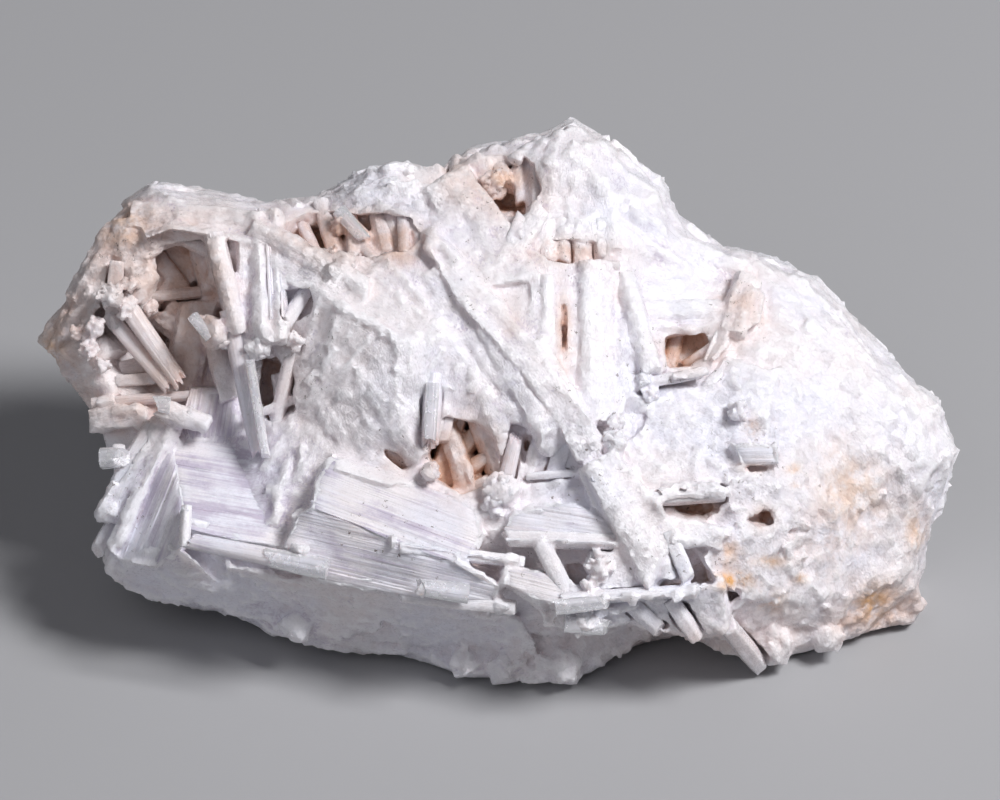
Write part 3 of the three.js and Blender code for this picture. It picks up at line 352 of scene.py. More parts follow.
class ClusterSizes(bpy.types.PropertyGroup):
    """The sizes of the cluster's detail."""

    skin_pitch: bpy.props.FloatProperty(
        name="Skin pitch", description="Edge length of the ground's mesh, before it is thinned",
        default=0.00025, min=0.0002, unit="LENGTH", precision=5,
    )
    blades: bpy.props.IntProperty(
        name="Blades", description="Number of blades sunk all over the ground",
        default=4200,
    )
    druse: bpy.props.IntProperty(
        name="Druse crystals", description="Number of small crystals in the hollows",
        default=500,
    )


class ClusterColours(bpy.types.PropertyGroup):
    """The colours of the cluster."""

    white: bpy.props.FloatVectorProperty(
        name="White", description="Clean crystal", subtype="COLOR", default=(0.87, 0.865, 0.95),
    )
    cream: bpy.props.FloatVectorProperty(
        name="Cream", description="Massive ground", subtype="COLOR", default=(0.90, 0.85, 0.87),
    )
    # Glass: the darker tone of clearer crystal, which also paints shade on the underside and the
    # lower-left striated block.
    glass_and_shade: bpy.props.FloatVectorProperty(
        name="Glass", description="Crystal that is clear enough to look dark", subtype="COLOR",
        default=(0.60, 0.545, 0.66),
    )
    # Tan: the stain of the hollows, with painted shade where they are deep and in the creases.
    tan: bpy.props.FloatVectorProperty(
        name="Tan", description="Stain of the hollows", subtype="COLOR",
        default=(0.70, 0.46, 0.35),
    )
    rust: bpy.props.FloatVectorProperty(
        name="Rust", description="Iron stain", subtype="COLOR", default=(0.80, 0.45, 0.20),
    )
    dirt: bpy.props.FloatVectorProperty(
        name="Dirt", description="Dark specks", subtype="COLOR", default=(0.11, 0.07, 0.05),
    )


def sizes():
    return bpy.context.scene.cluster_sizes


def colours():
    return bpy.context.scene.cluster_colours


# ---------------------------------------------------------------- places on the face


def unit(vectors):
    """The vectors, each at a length of one."""
    return vectors / np.maximum(np.linalg.norm(vectors, axis=-1, keepdims=True), 1e-9)


FACE_AXES = np.array((FACE_U, FACE_V, FACE_W))


def from_face(points):
    """Places in millimetres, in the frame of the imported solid, from u, v and w."""
    return FACE_ORIGIN + np.asarray(points, float) @ FACE_AXES


def to_face(points):
    """u, v and w of places in millimetres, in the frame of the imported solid."""
    return (np.asarray(points, float) - FACE_ORIGIN) @ FACE_AXES.T


def stain(points, stains):
    """How strongly each point is stained, from 0 to 1. The back isn't."""
    u, v, w = to_face(points).T
    clean = np.ones(len(u))
    for at_u, at_v, across, up, strength in stains:
        spread = ((u - at_u) / across) ** 2 + ((v - at_v) / up) ** 2
        clean *= 1 - strength * np.exp(-spread)
    return (1 - clean) * np.clip((w + 18) / 8, 0, 1)


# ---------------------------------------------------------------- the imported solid


def triangles_of(mesh):
    """Its corners in millimetres and its triangles."""
    corners = np.empty(len(mesh.vertices) * 3)
    mesh.vertices.foreach_get("co", corners)
    mesh.calc_loop_triangles()
    triangles = np.empty(len(mesh.loop_triangles) * 3, np.int32)
    mesh.loop_triangles.foreach_get("vertices", triangles)
    return corners.reshape(-1, 3) / MM, triangles.reshape(-1, 3)


@lru_cache(maxsize=None)
def solid_tree():
    corners, triangles = triangles_of(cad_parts[NODE].data)
    return BVHTree.FromPolygons(corners.tolist(), triangles.tolist())


@lru_cache(maxsize=None)
def filled_cells():
    """The solid as a grid of ones in zeros, and the grid's lowest corner."""
    box = np.array(CAD_BOX) / MM
    low = box[0] - CELL_MARGIN
    counts = np.ceil((box[1] + CELL_MARGIN - low) / CELL).astype(int)
    cells = np.zeros(counts, np.float32)
    up = Vector((0, 0, 1))
    tree = solid_tree()
    for i in range(counts[0]):
        for j in range(counts[1]):
            start = Vector((low[0] + (i + 0.5) * CELL, low[1] + (j + 0.5) * CELL, low[2]))
            crossings = []
            while (hit := tree.ray_cast(start, up)[0]) is not None:
                crossings.append((hit.z - low[2]) / CELL)
                start = hit + up * 0.001
            for bottom, top in zip(crossings[::2], crossings[1::2]):
                cells[i, j, round(bottom) : round(top)] = 1
    return cells, low


@lru_cache(maxsize=None)
def crowding_grid(blur):
    """The share of solid round each cell, as far as blur reaches, in millimetres."""
    cells, low = filled_cells()
    squares = [np.fft.fftfreq(n, CELL) ** 2 for n in cells.shape[:2]]
    squares.append(np.fft.rfftfreq(cells.shape[2], CELL) ** 2)
    total = squares[0][:, None, None] + squares[1][None, :, None] + squares[2][None, None, :]
    spectrum = np.fft.rfftn(cells) * np.exp(-2 * np.pi**2 * blur**2 * total)
    return np.fft.irfftn(spectrum, s=cells.shape), low


def crowding(points, blur):
    """Over 0.5 in a hollow and under it at an edge, for points on the surface."""
    grid, low = crowding_grid(blur)
    at = (points - low) / CELL - 0.5
    at = np.clip(at, 0, np.array(grid.shape) - 1.001)
    whole = at.astype(int)
    part = at - whole
    total = np.zeros(len(points))
    for corner in np.ndindex(2, 2, 2):
        weight = np.prod(np.where(corner, part, 1 - part), axis=1)
        total += weight * grid[tuple((whole + corner).T)]
    return total


# ---------------------------------------------------------------- grain


def plane_through(corners):
    """a, b, c of the plane w = a u + b v + c that lies nearest to them."""
    corners = np.asarray(corners, float)
    rows = np.column_stack((corners[:, :2], np.ones(len(corners))))
    return np.linalg.lstsq(rows, corners[:, 2], rcond=None)[0]


def grain_vector(angle, a=0.0, b=0.0):
    """The direction of an angle on the face, in the solid's frame, along a sloped plane."""
    across, up = math.cos(math.radians(angle)), math.sin(math.radians(angle))
    return unit(np.array((across, up, a * across + b * up)) @ FACE_AXES)


@lru_cache(maxsize=None)
def grain_map():
    """A tree of places and the grain at each, as one direction for each block or guide."""
    places, owners, grains = [], [], []
    for angle, _, corners in BLOCKS:
        corners = np.asarray(corners, float)
        middle = corners.mean(0)
        for corner in (middle, *(middle + 0.75 * (corners - middle))):
            places.append(from_face(corner))
            owners.append(len(grains))
        a, b, _ = plane_through(corners)
        grains.append(grain_vector(angle, a, b))
    for row in np.array(CRYSTALS + INGROWN, float):
        foot, tip = from_face(row[:3]), from_face(row[3:6])
        for share in (0.1, 0.35, 0.6, 0.85):
            places.append(foot + share * (tip - foot) + FACE_W * row[7] * 0.45)
            owners.append(len(grains))
        grains.append(unit(tip - foot))
    for u, v, w, angle in GUIDES:
        places.append(from_face((u, v, w)))
        owners.append(len(grains))
        grains.append(grain_vector(angle))
    rng = np.random.default_rng(7)
    corners, triangles = triangles_of(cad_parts[NODE].data)
    middles = corners[triangles].mean(1)
    behind = middles[to_face(middles)[:, 2] < HIDDEN]
    for place in behind[rng.choice(len(behind), HIDDEN_GRAINS, replace=False)]:
        places.append(place)
        owners.append(len(grains))
        grains.append(unit(rng.normal(size=3)))
    tree = KDTree(len(places))
    for k, place in enumerate(places):
        tree.insert(place, k)
    tree.balance()
    return tree, np.array(owners), np.array(grains)


def grain_at(points):
    """The owner of each point in the grain map, and its grain."""
    tree, owners, grains = grain_map()
    owner = owners[[tree.find(point)[1] for point in points]]
    return owner, grains[owner]


# ---------------------------------------------------------------- meshes


class Heap:
    """Closed forms that will be one mesh, with a map along their grain."""

    def __init__(self):
        self.corners, self.triangles, self.maps, self.tones, self.count = [], [], [], [], 0

    def add(self, corners, triangles, maps, tones):
        self.corners.append(corners)
        self.triangles.append(triangles + self.count)
        self.maps.append(maps)
        self.tones.append(tones)
        self.count += len(corners)

    def mesh(self, name):
        return mesh_from(
            name, np.concatenate(self.corners), np.concatenate(self.triangles),
            np.concatenate(self.maps), np.concatenate(self.tones),
        )


def blurred(values, triangles, rounds):
    """One value for each corner, evened out with its neighbours' as often as rounds."""
    ends = np.concatenate((triangles[:, [0, 1]], triangles[:, [1, 2]], triangles[:, [2, 0]]))
    starts, ends = np.concatenate((ends, ends[:, ::-1])).T
    count = len(values)
    degree = np.maximum(np.bincount(starts, minlength=count), 1)
    for _ in range(rounds):
        values = np.bincount(starts, values[ends], count) / degree
    return values


def convexity(corners, triangles, normals, rounds):
    """How far each corner stands out of the surface round it, in millimetres."""
    even = np.stack([blurred(corners[:, axis], triangles, rounds) for axis in range(3)], 1)
    return ((corners - even) * normals).sum(1)


def mesh_from(name, corners, triangles, maps, tones, rounds=0):
    """A mesh with its painted attributes. maps holds a place for each triangle's corner."""
    corners[:, 2] = np.maximum(corners[:, 2], FLOOR_GAP)
    mesh = bpy.data.meshes.new(name)
    mesh.vertices.add(len(corners))
    mesh.vertices.foreach_set("co", (corners * MM).ravel())
    mesh.loops.add(triangles.size)
    mesh.loops.foreach_set("vertex_index", triangles.ravel().astype(np.int32))
    mesh.polygons.add(len(triangles))
    mesh.polygons.foreach_set("loop_start", np.arange(0, triangles.size, 3, dtype=np.int32))
    mesh.update(calc_edges=True)
    layer = mesh.uv_layers.new(name="grain")
    layer.uv.foreach_set("vector", maps.reshape(-1).astype(np.float32))
    normals = normals_of(mesh).astype(np.float32)
    stands = convexity(corners, triangles, normals, rounds) if rounds else np.zeros(len(corners))
    paint(mesh, corners, normals, tones, stands)
    return mesh


def paint(mesh, corners, normals, tones, stands):
    """Stores how stained, dirty, sugary and deep-set each corner is, with painted shade in the stain of
    deep hollows, in the darker clear tone and in creases, and a painted highlight on sharp edges.
    """
    hollow = crowding(corners + normals * 1.2, HOLLOW_BLUR)
    deep = np.clip((hollow - 0.5) / 0.25, 0, 1)
    painted = {
        # tan: stain, with painted shade added where a hollow is deep
        "tan": np.clip(stain(corners, TAN_STAINS_AND_SHADE) * (0.75 + 0.9 * deep) + 0.45 * deep**2, 0, 1),
        "rust": stain(corners, RUST_STAINS),
        "dirt": np.clip(stain(corners, DIRT) + 0.5 * deep, 0, 1),
        "sugar": stain(corners, SUGARY),
        # glassy: the darker tone of clearer crystal, partly painted shade
        "glassy_and_shaded": stain(corners, GLASSY_AND_SHADED),
        # edge: sharp edges, painted whiter as frost and partly as a painted highlight
        "edge": np.clip(stands / EDGE_HEIGHT, 0, 1),
        # crease: creases, painted with the stain colour and partly with painted shade
        "crease_stain_and_shade": np.clip(-stands / CREASE_DEPTH, 0, 1),
        "tone": tones,
    }
    for name, values in painted.items():
        attribute = mesh.attributes.new(name, "FLOAT", "POINT")
        attribute.data.foreach_set("value", np.asarray(values, np.float32))


def prisms(feet, tips, facing, widths, depths, rng, corners=6, rings=2, flute=0.1, taper=0.12,
           ragged=0.2, slant=0.4, wobble=0.0):
    """Closed prisms from feet to tips, their broad sides to facing, for Heap.add.

    flute is the depth of the grooves as a share of the radius. Ragged tips break off at
    their own height along each groove, and slant tilts the break. wobble moves each ring
    off the axis, by a share of the width.
    """
    count = len(feet)
    axes = tips - feet
    lengths = np.linalg.norm(axes, axis=1)
    axes = unit(axes)
    sides = unit(np.cross(axes, facing))
    tops = np.cross(sides, axes)
    angles = (np.arange(corners) + rng.uniform(-0.3, 0.3, (count, corners))) * 2 * np.pi / corners
    radii = 1 + flute * rng.uniform(-1, 1, (count, corners))
    x = np.cos(angles) * radii * widths[:, None] / 2
    y = np.sin(angles) * radii * depths[:, None] / 2
    share = np.linspace(0, 1, rings)[None, :] + np.zeros((count, 1))
    share[:, 1:-1] += rng.uniform(-0.3, 0.3, (count, rings - 2)) / rings
    swell = 1 - taper * share**2
    heights = (share * lengths[:, None])[:, :, None] + np.zeros((1, 1, corners))
    lean = rng.uniform(0, 2 * np.pi, (count, 1))
    tilt = slant * (x * np.cos(lean) + y * np.sin(lean))
    broken = ragged * widths[:, None] * rng.uniform(0, 1, (count, corners)) ** 2
    heights[:, -1] -= np.abs(tilt - tilt.max(1, keepdims=True)) + broken
    heights[:, -1] = np.maximum(heights[:, -1], heights[:, -2] + 0.02)
    drift = rng.normal(0, 1, (count, rings, 2)) * wobble * widths[:, None, None]
    drift[:, 0] = 0
    at = feet[:, None, None] + axes[:, None, None] * heights[..., None]
    at = at + sides[:, None, None] * (x[:, None] * swell[..., None] + drift[:, :, :1])[..., None]
    at = at + tops[:, None, None] * (y[:, None] * swell[..., None] + drift[:, :, 1:])[..., None]
    ends = at[:, -1].mean(1) + axes * (rng.uniform(-0.25, 0.2, count) * widths)[:, None]
    points = np.concatenate((at.reshape(count, -1, 3), ends[:, None]), 1)
    each = points.shape[1]
    shape, places = [], []
    around = np.arange(corners)
    step = np.pi / corners
    for ring in range(rings - 1):
        for j in around:
            k = (j + 1) % corners
            low, high = ring * corners, (ring + 1) * corners
            shape += [(low + j, low + k, high + k), (low + j, high + k, high + j)]
            places += [((ring, j), (ring, j + 1), (ring + 1, j + 1)),
                       ((ring, j), (ring + 1, j + 1), (ring + 1, j))]
    last = (rings - 1) * corners
    for j in around:
        shape.append((last + j, last + (j + 1) % corners, each - 1))
        places.append(((rings - 1, j), (rings - 1, j + 1), (rings - 1, j + 0.5)))
    for j in around[1:-1]:
        shape.append((0, j + 1, j))
        places.append(((0, 0), (0, j + 1), (0, j)))
    shape, places = np.array(shape), np.array(places, float)
    triangles = (np.arange(count)[:, None, None] * each + shape[None]).reshape(-1, 3)
    ring_of = places[..., 0].astype(int)
    along = share[:, ring_of] * lengths[:, None, None] + rng.uniform(0, 90, (count, 1, 1))
    around_it = places[None, ..., 1] * step * (widths + depths)[:, None, None] / 2
    around_it = around_it + rng.uniform(0, 90, (count, 1, 1))
    maps = np.stack((along, around_it), -1).reshape(-1, 3, 2)
    tones = np.repeat(rng.uniform(0, 1, count), each)
    return points.reshape(-1, 3), triangles, maps, tones


def keep_inside(points, slack=0.9):
    """True where a point is no further outside the solid's box than slack."""
    box = np.array(CAD_BOX) / MM
    inside = (points > box[0] - slack).all(-1) & (points < box[1] + slack).all(-1)
    return inside & (points[..., 2] > 0.1)


# ---------------------------------------------------------------- the ground


# Sharp openings between the crystals: w of the bottom, and the corners of the mouth.
OPENINGS = [
    (5.6, ((6.6, 12.2), (7.3, 12.6), (7.3, 9), (7.1, 5), (6.8, 4.2), (6.7, 8))),
    (0.5, ((17.6, 7.2), (20, 7.5), (23, 7.9), (23.9, 5.6), (21.6, 3.4), (18, 3), (17.5, 5))),
    (7, ((6, -17), (9, -17.2), (10.8, -20.7), (8.2, -20))),
    (7, ((18.6, -11.3), (24.7, -10.7), (22.6, -13), (18.8, -12.2))),
    (7.6, ((27.1, -13.9), (29.5, -11.2), (30.3, -13.9))),
    (8.4, ((26.3, -7.1), (29.6, -7.0), (29.4, -7.9), (26.8, -7.9))),
    (-1, ((-26.6, 6), (-22.6, 4), (-21.9, -1.6), (-25.2, -3.2), (-26.9, 0))),
    (4, ((-24.4, 12.4), (-20.4, 12.8), (-19.6, 9.6), (-22, 8.2), (-24.4, 8.4))),
    (5, ((-2.4, 2.6), (-0.7, 4.3), (-0.3, 3.8), (-1.6, 2.5))),
    (6, ((14.1, 3.7), (14.9, 3.2), (15.2, 0.2), (14.4, 0.2))),
    (-1.4, ((-24.6, 19.6), (-20.4, 21.4), (-15.6, 20.7), (-12, 21.1), (-8.3, 20.2), (-8.9, 16.2),
            (-13.6, 15.3), (-16.4, 15.3), (-19.4, 16.6))),
    (-3.4, ((-4.8, 26.6), (-1.5, 27.6), (3.6, 27.6), (4.9, 24), (4.4, 19.8), (0.9, 19.2),
          (-2.6, 21.4))),
    (0.5, ((3.8, 17.4), (8, 17.9), (12.4, 17.2), (12.2, 15.2), (8, 14.6), (4.4, 15))),
    (3, ((-8.6, -5.2), (-6.6, -1), (-2.2, -1.6), (0.4, -4.6), (0.6, -9.6), (-4.2, -11.2),
         (-7.6, -9.2))),
    (6, ((2, -3.2), (6.8, -3.4), (7.4, -8.6), (2.6, -9))),
    (6.5, ((-13.2, -4.8), (-9.6, -6.4), (-10.8, -8.2), (-12.4, -7.2))),
    (7, ((18.4, -21.8), (20.9, -21.9), (21, -24.2), (18.8, -24.2))),
]
OPENING_TAPER = 0.8  # width of an opening's bottom as a share of its mouth
OPENING_TOP = 30  # w, clear of the ground
CLEARANCE = 0.2  # mm, round a narrow crystal
SECTION = 8  # corners round a column
SQUARENESS = 7  # of a crystal's section
SLIM_SECTION = 6  # round a blade or a crystal of a knob
BLADE_WIDEST = 3.2  # mm
BLADE_STANDS_OUT = 0.62  # mm, the most that its end may
BLADE_TRIES = 4
SHORTER = 0.62  # length of a blade at each try, as a share of the one before
LOWEST_BLADE = 1.5  # mm above the floor
CLEARED_WALLS = 16  # rows of INGROWN, from the first, whose broad ones have no blades on them
CLEARED_WIDTH = 2.5  # mm
HIDDEN = -9  # w, under which the ground is out of sight from the front
WORN_ROUNDS = 2
FREE_FROM = 0.15  # share of its length, from its foot, at which a crystal stands free
FIBRES_SUNK = 0.14  # mm, of the ground under a fibrous face
BROAD = 2.3  # mm, from which a crystal fuses with the ground
COLUMN_PITCH = 0.2  # mm
COLUMN_TRIANGLES = 192000
GROUND_TRIANGLES = 196000  # after its flatter and hidden parts are thinned out


def add_prism(mesh, low, high):
    """A closed prism between two rings of places, in millimetres to metres."""
    low, high = [[mesh.verts.new(place * MM) for place in ring] for ring in (low, high)]
    mesh.faces.new(low)
    mesh.faces.new(high)
    for i in range(len(low)):
        mesh.faces.new((low[i - 1], low[i], high[i], high[i - 1]))


def opening_cutter():
    """Straight-sided prisms for the openings and round the narrow crystals, in metres."""
    cutter = bmesh.new()
    for bottom, outline in OPENINGS:
        outline = np.array(outline, float)
        middle = outline.mean(0)
        rings = [middle + (outline - middle) * spread for spread in (OPENING_TAPER, 1.0)]
        add_prism(cutter, *(from_face([(*place, w) for place in ring])
                            for w, ring in zip((bottom, OPENING_TOP), rings)))
    for row in np.array([row for row in CRYSTALS if row[6] < BROAD], float):
        foot, tip = from_face(row[:3]), from_face(row[3:6])
        axis = unit(tip - foot)
        side = unit(np.cross(axis, FACE_W))
        top = np.cross(side, axis)
        foot, tip = foot + 0.12 * (tip - foot), tip + axis * 2 * CLEARANCE
        x, y = (row[6] / 2 + CLEARANCE) * side, (row[7] / 2 + CLEARANCE) * top
        add_prism(cutter, *([end + a * x + b * y for a, b in ((-1, -1), (1, -1), (1, 1), (-1, 1))]
                            for end in (foot, tip)))
    bmesh.ops.recalc_face_normals(cutter, faces=cutter.faces)
    mesh = bpy.data.meshes.new("openings")
    cutter.to_mesh(mesh)
    cutter.free()
    return mesh


def add_column(mesh, rng, foot, tip, side, width, depth, section, power=None):
    """A closed column with blunt edges and a slanting end, in millimetres to metres.

    The higher the power, the squarer it is. Without one it is as square as chance has it.
    """
    axis, length = unit(tip - foot), np.linalg.norm(tip - foot)
    top = unit(np.cross(side, axis))
    side = np.cross(axis, top)
    power = power or rng.choice((2.6, 4, 6))
    turn = (np.arange(section) + rng.uniform(0, 0.5)) / section * 2 * np.pi
    turn = turn + rng.uniform(-0.2, 0.2, section)
    blunt = (np.abs(np.cos(turn)) ** power + np.abs(np.sin(turn)) ** power) ** (-1 / power)
    x = np.cos(turn) * blunt * width / 2 * rng.uniform(0.94, 1.06, section)
    y = np.sin(turn) * blunt * depth / 2 * rng.uniform(0.94, 1.06, section)
    slant = x * rng.normal(0, 0.3) + y * rng.normal(-0.1, 0.25)
    rings = []
    for height, scale in ((-0.2, 0.9), (0.55 * length, 1), (length - 0.12, 0.93), (length, 0.84)):
        lift = height + (slant if height > 0.6 * length else 0 * slant)
        places = foot + lift[:, None] * axis + scale * (x[:, None] * side + y[:, None] * top)
        rings.append([mesh.verts.new(place * MM) for place in places])
    for low, high in zip(rings, rings[1:]):
        for i in range(section):
            mesh.faces.new((low[i - 1], low[i], high[i], high[i - 1]))
    mesh.faces.new(rings[-1])
    mesh.faces.new(rings[0][::-1])


def heights_above(tree, points):
    """How far each point is outside a surface, less than nought inside it."""
    heights = []
    for point in points:
        place, normal, _, _ = tree.find_nearest(Vector(point))
        height = (Vector(point) - place).dot(normal)
        gap = (Vector(point) - place).length
        heights.append(gap if gap > 1.6 * abs(height) + 0.3 else height)
    return np.array(heights)


def add_blades(mesh, rng, cut):
    """Adds blades that lie along the grain, sunk all over the ground and its openings."""
    corners, triangles = triangles_of(cut)
    tree = BVHTree.FromPolygons(corners.tolist(), triangles.tolist())
    a, b, c = corners[triangles].transpose(1, 0, 2)
    outward = np.cross(b - a, c - a)
    areas = np.linalg.norm(outward, axis=1) / 2
    picks = rng.choice(len(areas), sizes().blades, p=areas / areas.sum())
    x, y = rng.uniform(0, 1, (2, len(picks), 1))
    x, y = np.where(x + y > 1, 1 - x, x), np.where(x + y > 1, 1 - y, y)
    points = a[picks] + x * (b[picks] - a[picks]) + y * (c[picks] - a[picks])
    outward = unit(outward[picks])
    _, grains = grain_at(points)
    sugar, massive = stain(points, SUGARY), stain(points, MASSIVE)
    fibres = fibrous(points)
    for point, out, grain, crust, plain, combed in zip(
            points, outward, grains, sugar, massive, fibres):
        if point[2] < LOWEST_BLADE or combed:
            continue
        spread = 0.07 + 0.45 * crust + 0.12 * plain
        axis = unit(grain - out * (grain @ out) + rng.normal(0, spread, 3))
        axis = unit(axis - out * (axis @ out))
        length = rng.lognormal(1.9 - 1.2 * crust - 0.3 * plain, 0.4)
        width = min(BLADE_WIDEST, max(0.5, length * rng.uniform(0.14, 0.4)))
        depth = width * rng.uniform(0.5, 0.9)
        rise = rng.uniform(0.06, 0.42) * (1 - 0.4 * plain)
        middle = point - out * (depth / 2 - rise)
        lean = out * rng.normal(0, 0.035 + 0.1 * crust)
        for _ in range(BLADE_TRIES):
            ends = middle + np.array((-0.5, 0.5))[:, None] * (axis + lean) * length
            if heights_above(tree, ends).max() < BLADE_STANDS_OUT - depth / 2:
                break
            length *= SHORTER
        else:
            continue
        if ends[:, 2].min() < depth or open_above(np.array((*ends, middle))).any():
            continue
        side = unit(np.cross(axis, out) + out * rng.normal(0, 0.25))
        add_column(mesh, rng, ends[0], ends[1], side, width, depth, SLIM_SECTION)


def crystal_rows(broad):
    """The rows of the broad crystals, fused with the ground, or of the narrow ones."""
    rows = INGROWN + [row for row in CRYSTALS if row[0] not in FREE]
    return np.array([row for row in rows if (row[6] >= BROAD) == broad], float)


def add_crystals(mesh, rng, rows):
    """Adds crystals, each with a slanting end and a little out of true."""
    for row in rows:
        foot, tip, (width, depth) = from_face(row[:3]), from_face(row[3:6]), row[6:]
        axis, length = unit(tip - foot), np.linalg.norm(tip - foot)
        side = unit(np.cross(axis, FACE_W) + rng.normal(0, 0.08, 3))
        top = np.cross(side, axis)
        foot = foot - axis * rng.uniform(0, 0.8)
        tip = tip + top * rng.normal(0, 0.1) + side * rng.normal(0, 0.02) * length
        add_column(mesh, rng, foot, tip, side, width, depth, SECTION, SQUARENESS)
        if width >= BROAD:
            narrow, reach = width * rng.uniform(0.4, 0.6), rng.uniform(0.6, 0.85)
            shift = side * width * rng.uniform(-0.25, 0.25) + top * rng.uniform(0.12, 0.3)
            add_column(mesh, rng, foot + shift, foot + shift + (tip - foot) * reach, side, narrow,
                       depth, SECTION, SQUARENESS)


def add_knobs(mesh, rng):
    """Adds the knobs of small crystals."""
    for u, v, w, radius in KNOBS:
        middle = from_face((u, v, w))
        for out in unit(rng.normal(size=(int(16 * radius) + 10, 3))):
            wide = radius * rng.uniform(0.35, 0.6)
            add_column(mesh, rng, middle, middle + out * radius * rng.uniform(0.7, 1.0),
                       unit(rng.normal(size=3)), wide, wide * rng.uniform(0.6, 1), SLIM_SECTION)


def add_holder(mesh):
    """An object for a mesh, so that modifiers can work on it."""
    holder = bpy.data.objects.new(mesh.name, mesh)
    bpy.context.scene.collection.objects.link(holder)
    return holder


def evaluated(holder):
    """A new mesh of an object with its modifiers."""
    return bpy.data.meshes.new_from_object(
        holder.evaluated_get(bpy.context.evaluated_depsgraph_get()))


def drop(*holders):
    """Deletes objects with their meshes."""
    for holder in holders:
        mesh = holder.data
        bpy.data.objects.remove(holder)
        bpy.data.meshes.remove(mesh)


def normals_of(mesh):
    """The normal at each corner."""
    normals = np.empty(len(mesh.vertices) * 3, np.float32)
    mesh.vertices.foreach_get("normal", normals)
    return normals.reshape(-1, 3).astype(float)


def weigh(holder, name, weights):
    """A group of an object's corners, with their weights in steps of a tenth."""
    group = holder.vertex_groups.new(name=name)
    for step in range(1, 11):
        members = np.flatnonzero(np.round(weights * 10) == step)
        group.add(members.tolist(), step / 10, "REPLACE")


def evened(form, pitch):
    """One closed skin, of even pitch, round all the forms in a bmesh."""
    bmesh.ops.recalc_face_normals(form, faces=form.faces)
    mesh = bpy.data.meshes.new("rough")
    form.to_mesh(mesh)
    form.free()
    holder = add_holder(mesh)
    remesh = holder.modifiers.new("even", "REMESH")
    remesh.mode = "VOXEL"
    remesh.voxel_size = pitch
    even = evaluated(holder)
    drop(holder)
    return even


def thinned(mesh, corners, most, plain=None):
    """Moves a mesh's corners and thins it out, most where it is plain. Uses the mesh up."""
    mesh.vertices.foreach_set("co", (corners * MM).ravel())
    holder = add_holder(mesh)
    thin = holder.modifiers.new("thinned", "DECIMATE")
    if plain is not None:
        weigh(holder, "plain", plain)
        thin.vertex_group = "plain"
        thin.vertex_group_factor = 1.0
    mesh.calc_loop_triangles()
    thin.ratio = min(1.0, most / len(mesh.loop_triangles))
    light = evaluated(holder)
    drop(holder)
    corners, triangles = triangles_of(light)
    bpy.data.meshes.remove(light)
    return corners, triangles


@lru_cache(maxsize=None)
def skin_surface():
    """Corners, triangles, owners and grain of the ground, with its relief."""
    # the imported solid, with the openings cut
    welded = bmesh.new()
    welded.from_mesh(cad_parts[NODE].data)
    bmesh.ops.remove_doubles(welded, verts=welded.verts, dist=1e-7)
    rough = bpy.data.meshes.new("rough_skin")
    welded.to_mesh(rough)
    welded.free()
    holder, cutter = add_holder(rough), add_holder(opening_cutter())
    cut = holder.modifiers.new("openings", "BOOLEAN")
    cut.operation = "DIFFERENCE"
    cut.object = cutter
    cut.use_self = True
    opened = evaluated(holder)
    drop(holder, cutter)
    # the blades and the broad crystals, fused with it
    joined = bmesh.new()
    joined.from_mesh(opened)
    rng = np.random.default_rng(23)
    add_blades(joined, rng, opened)
    add_crystals(joined, rng, crystal_rows(True))
    bpy.data.meshes.remove(opened)
    even = evened(joined, sizes().skin_pitch)
    # worn where it is massive
    corners, _ = triangles_of(even)
    massive = stain(corners, MASSIVE)
    holder = add_holder(even)
    weigh(holder, "massive", massive)
    worn = holder.modifiers.new("worn", "SMOOTH")
    worn.factor = 0.5
    worn.iterations = WORN_ROUNDS
    worn.vertex_group = "massive"
    even = evaluated(holder)
    drop(holder)
    # the relief, which fades out towards the floor
    corners, triangles = triangles_of(even)
    normals = normals_of(even)
    _, grains = grain_at(corners)
    sugar = stain(corners, SUGARY)
    edge = np.clip((0.5 - crowding(corners + normals * 0.3, EDGE_BLUR)) / 0.3, 0, 1)
    fibres = blurred(fibrous(corners).astype(float), triangles, 3)
    shift = relief(corners, grains, sugar, edge, fibres)
    above = np.clip((corners[:, 2] - 0.3) / 1.2, 0, 1)
    corners = corners + normals * (shift * above)[:, None]
    behind = to_face(corners)[:, 2] < HIDDEN
    plain = np.clip(0.2 + 0.1 * massive + 0.4 * behind, 0, 1)
    corners, triangles = thinned(even, corners, GROUND_TRIANGLES, plain)
    return corners, triangles, *grain_at(corners)


def nearest_axis(points):
    """Which crystal or knob each point belongs to, and its grain."""
    rows = crystal_rows(False)
    feet, tips, widths, depths = from_face(rows[:, :3]), from_face(rows[:, 3:6]), *rows[:, 6:].T
    least, owner = np.full(len(points), 1e9), np.zeros(len(points), int)
    grains = np.tile(FACE_W, (len(points), 1))
    for k, (foot, tip, width, depth) in enumerate(zip(feet, tips, widths, depths)):
        axis = tip - foot
        share = np.clip((points - foot) @ axis / (axis @ axis), 0, 1)
        gap = np.linalg.norm(points - foot - share[:, None] * axis, axis=1) / max(width, depth)
        nearer = gap < least
        least[nearer], owner[nearer], grains[nearer] = gap[nearer], k, unit(axis)
    for k, (u, v, w, radius) in enumerate(KNOBS):
        middle = from_face((u, v, w))
        near = np.linalg.norm(points - middle, axis=1) < radius * 1.2
        owner[near] = len(feet) + k
        grains[near] = unit(points[near] - middle)
    return owner, grains


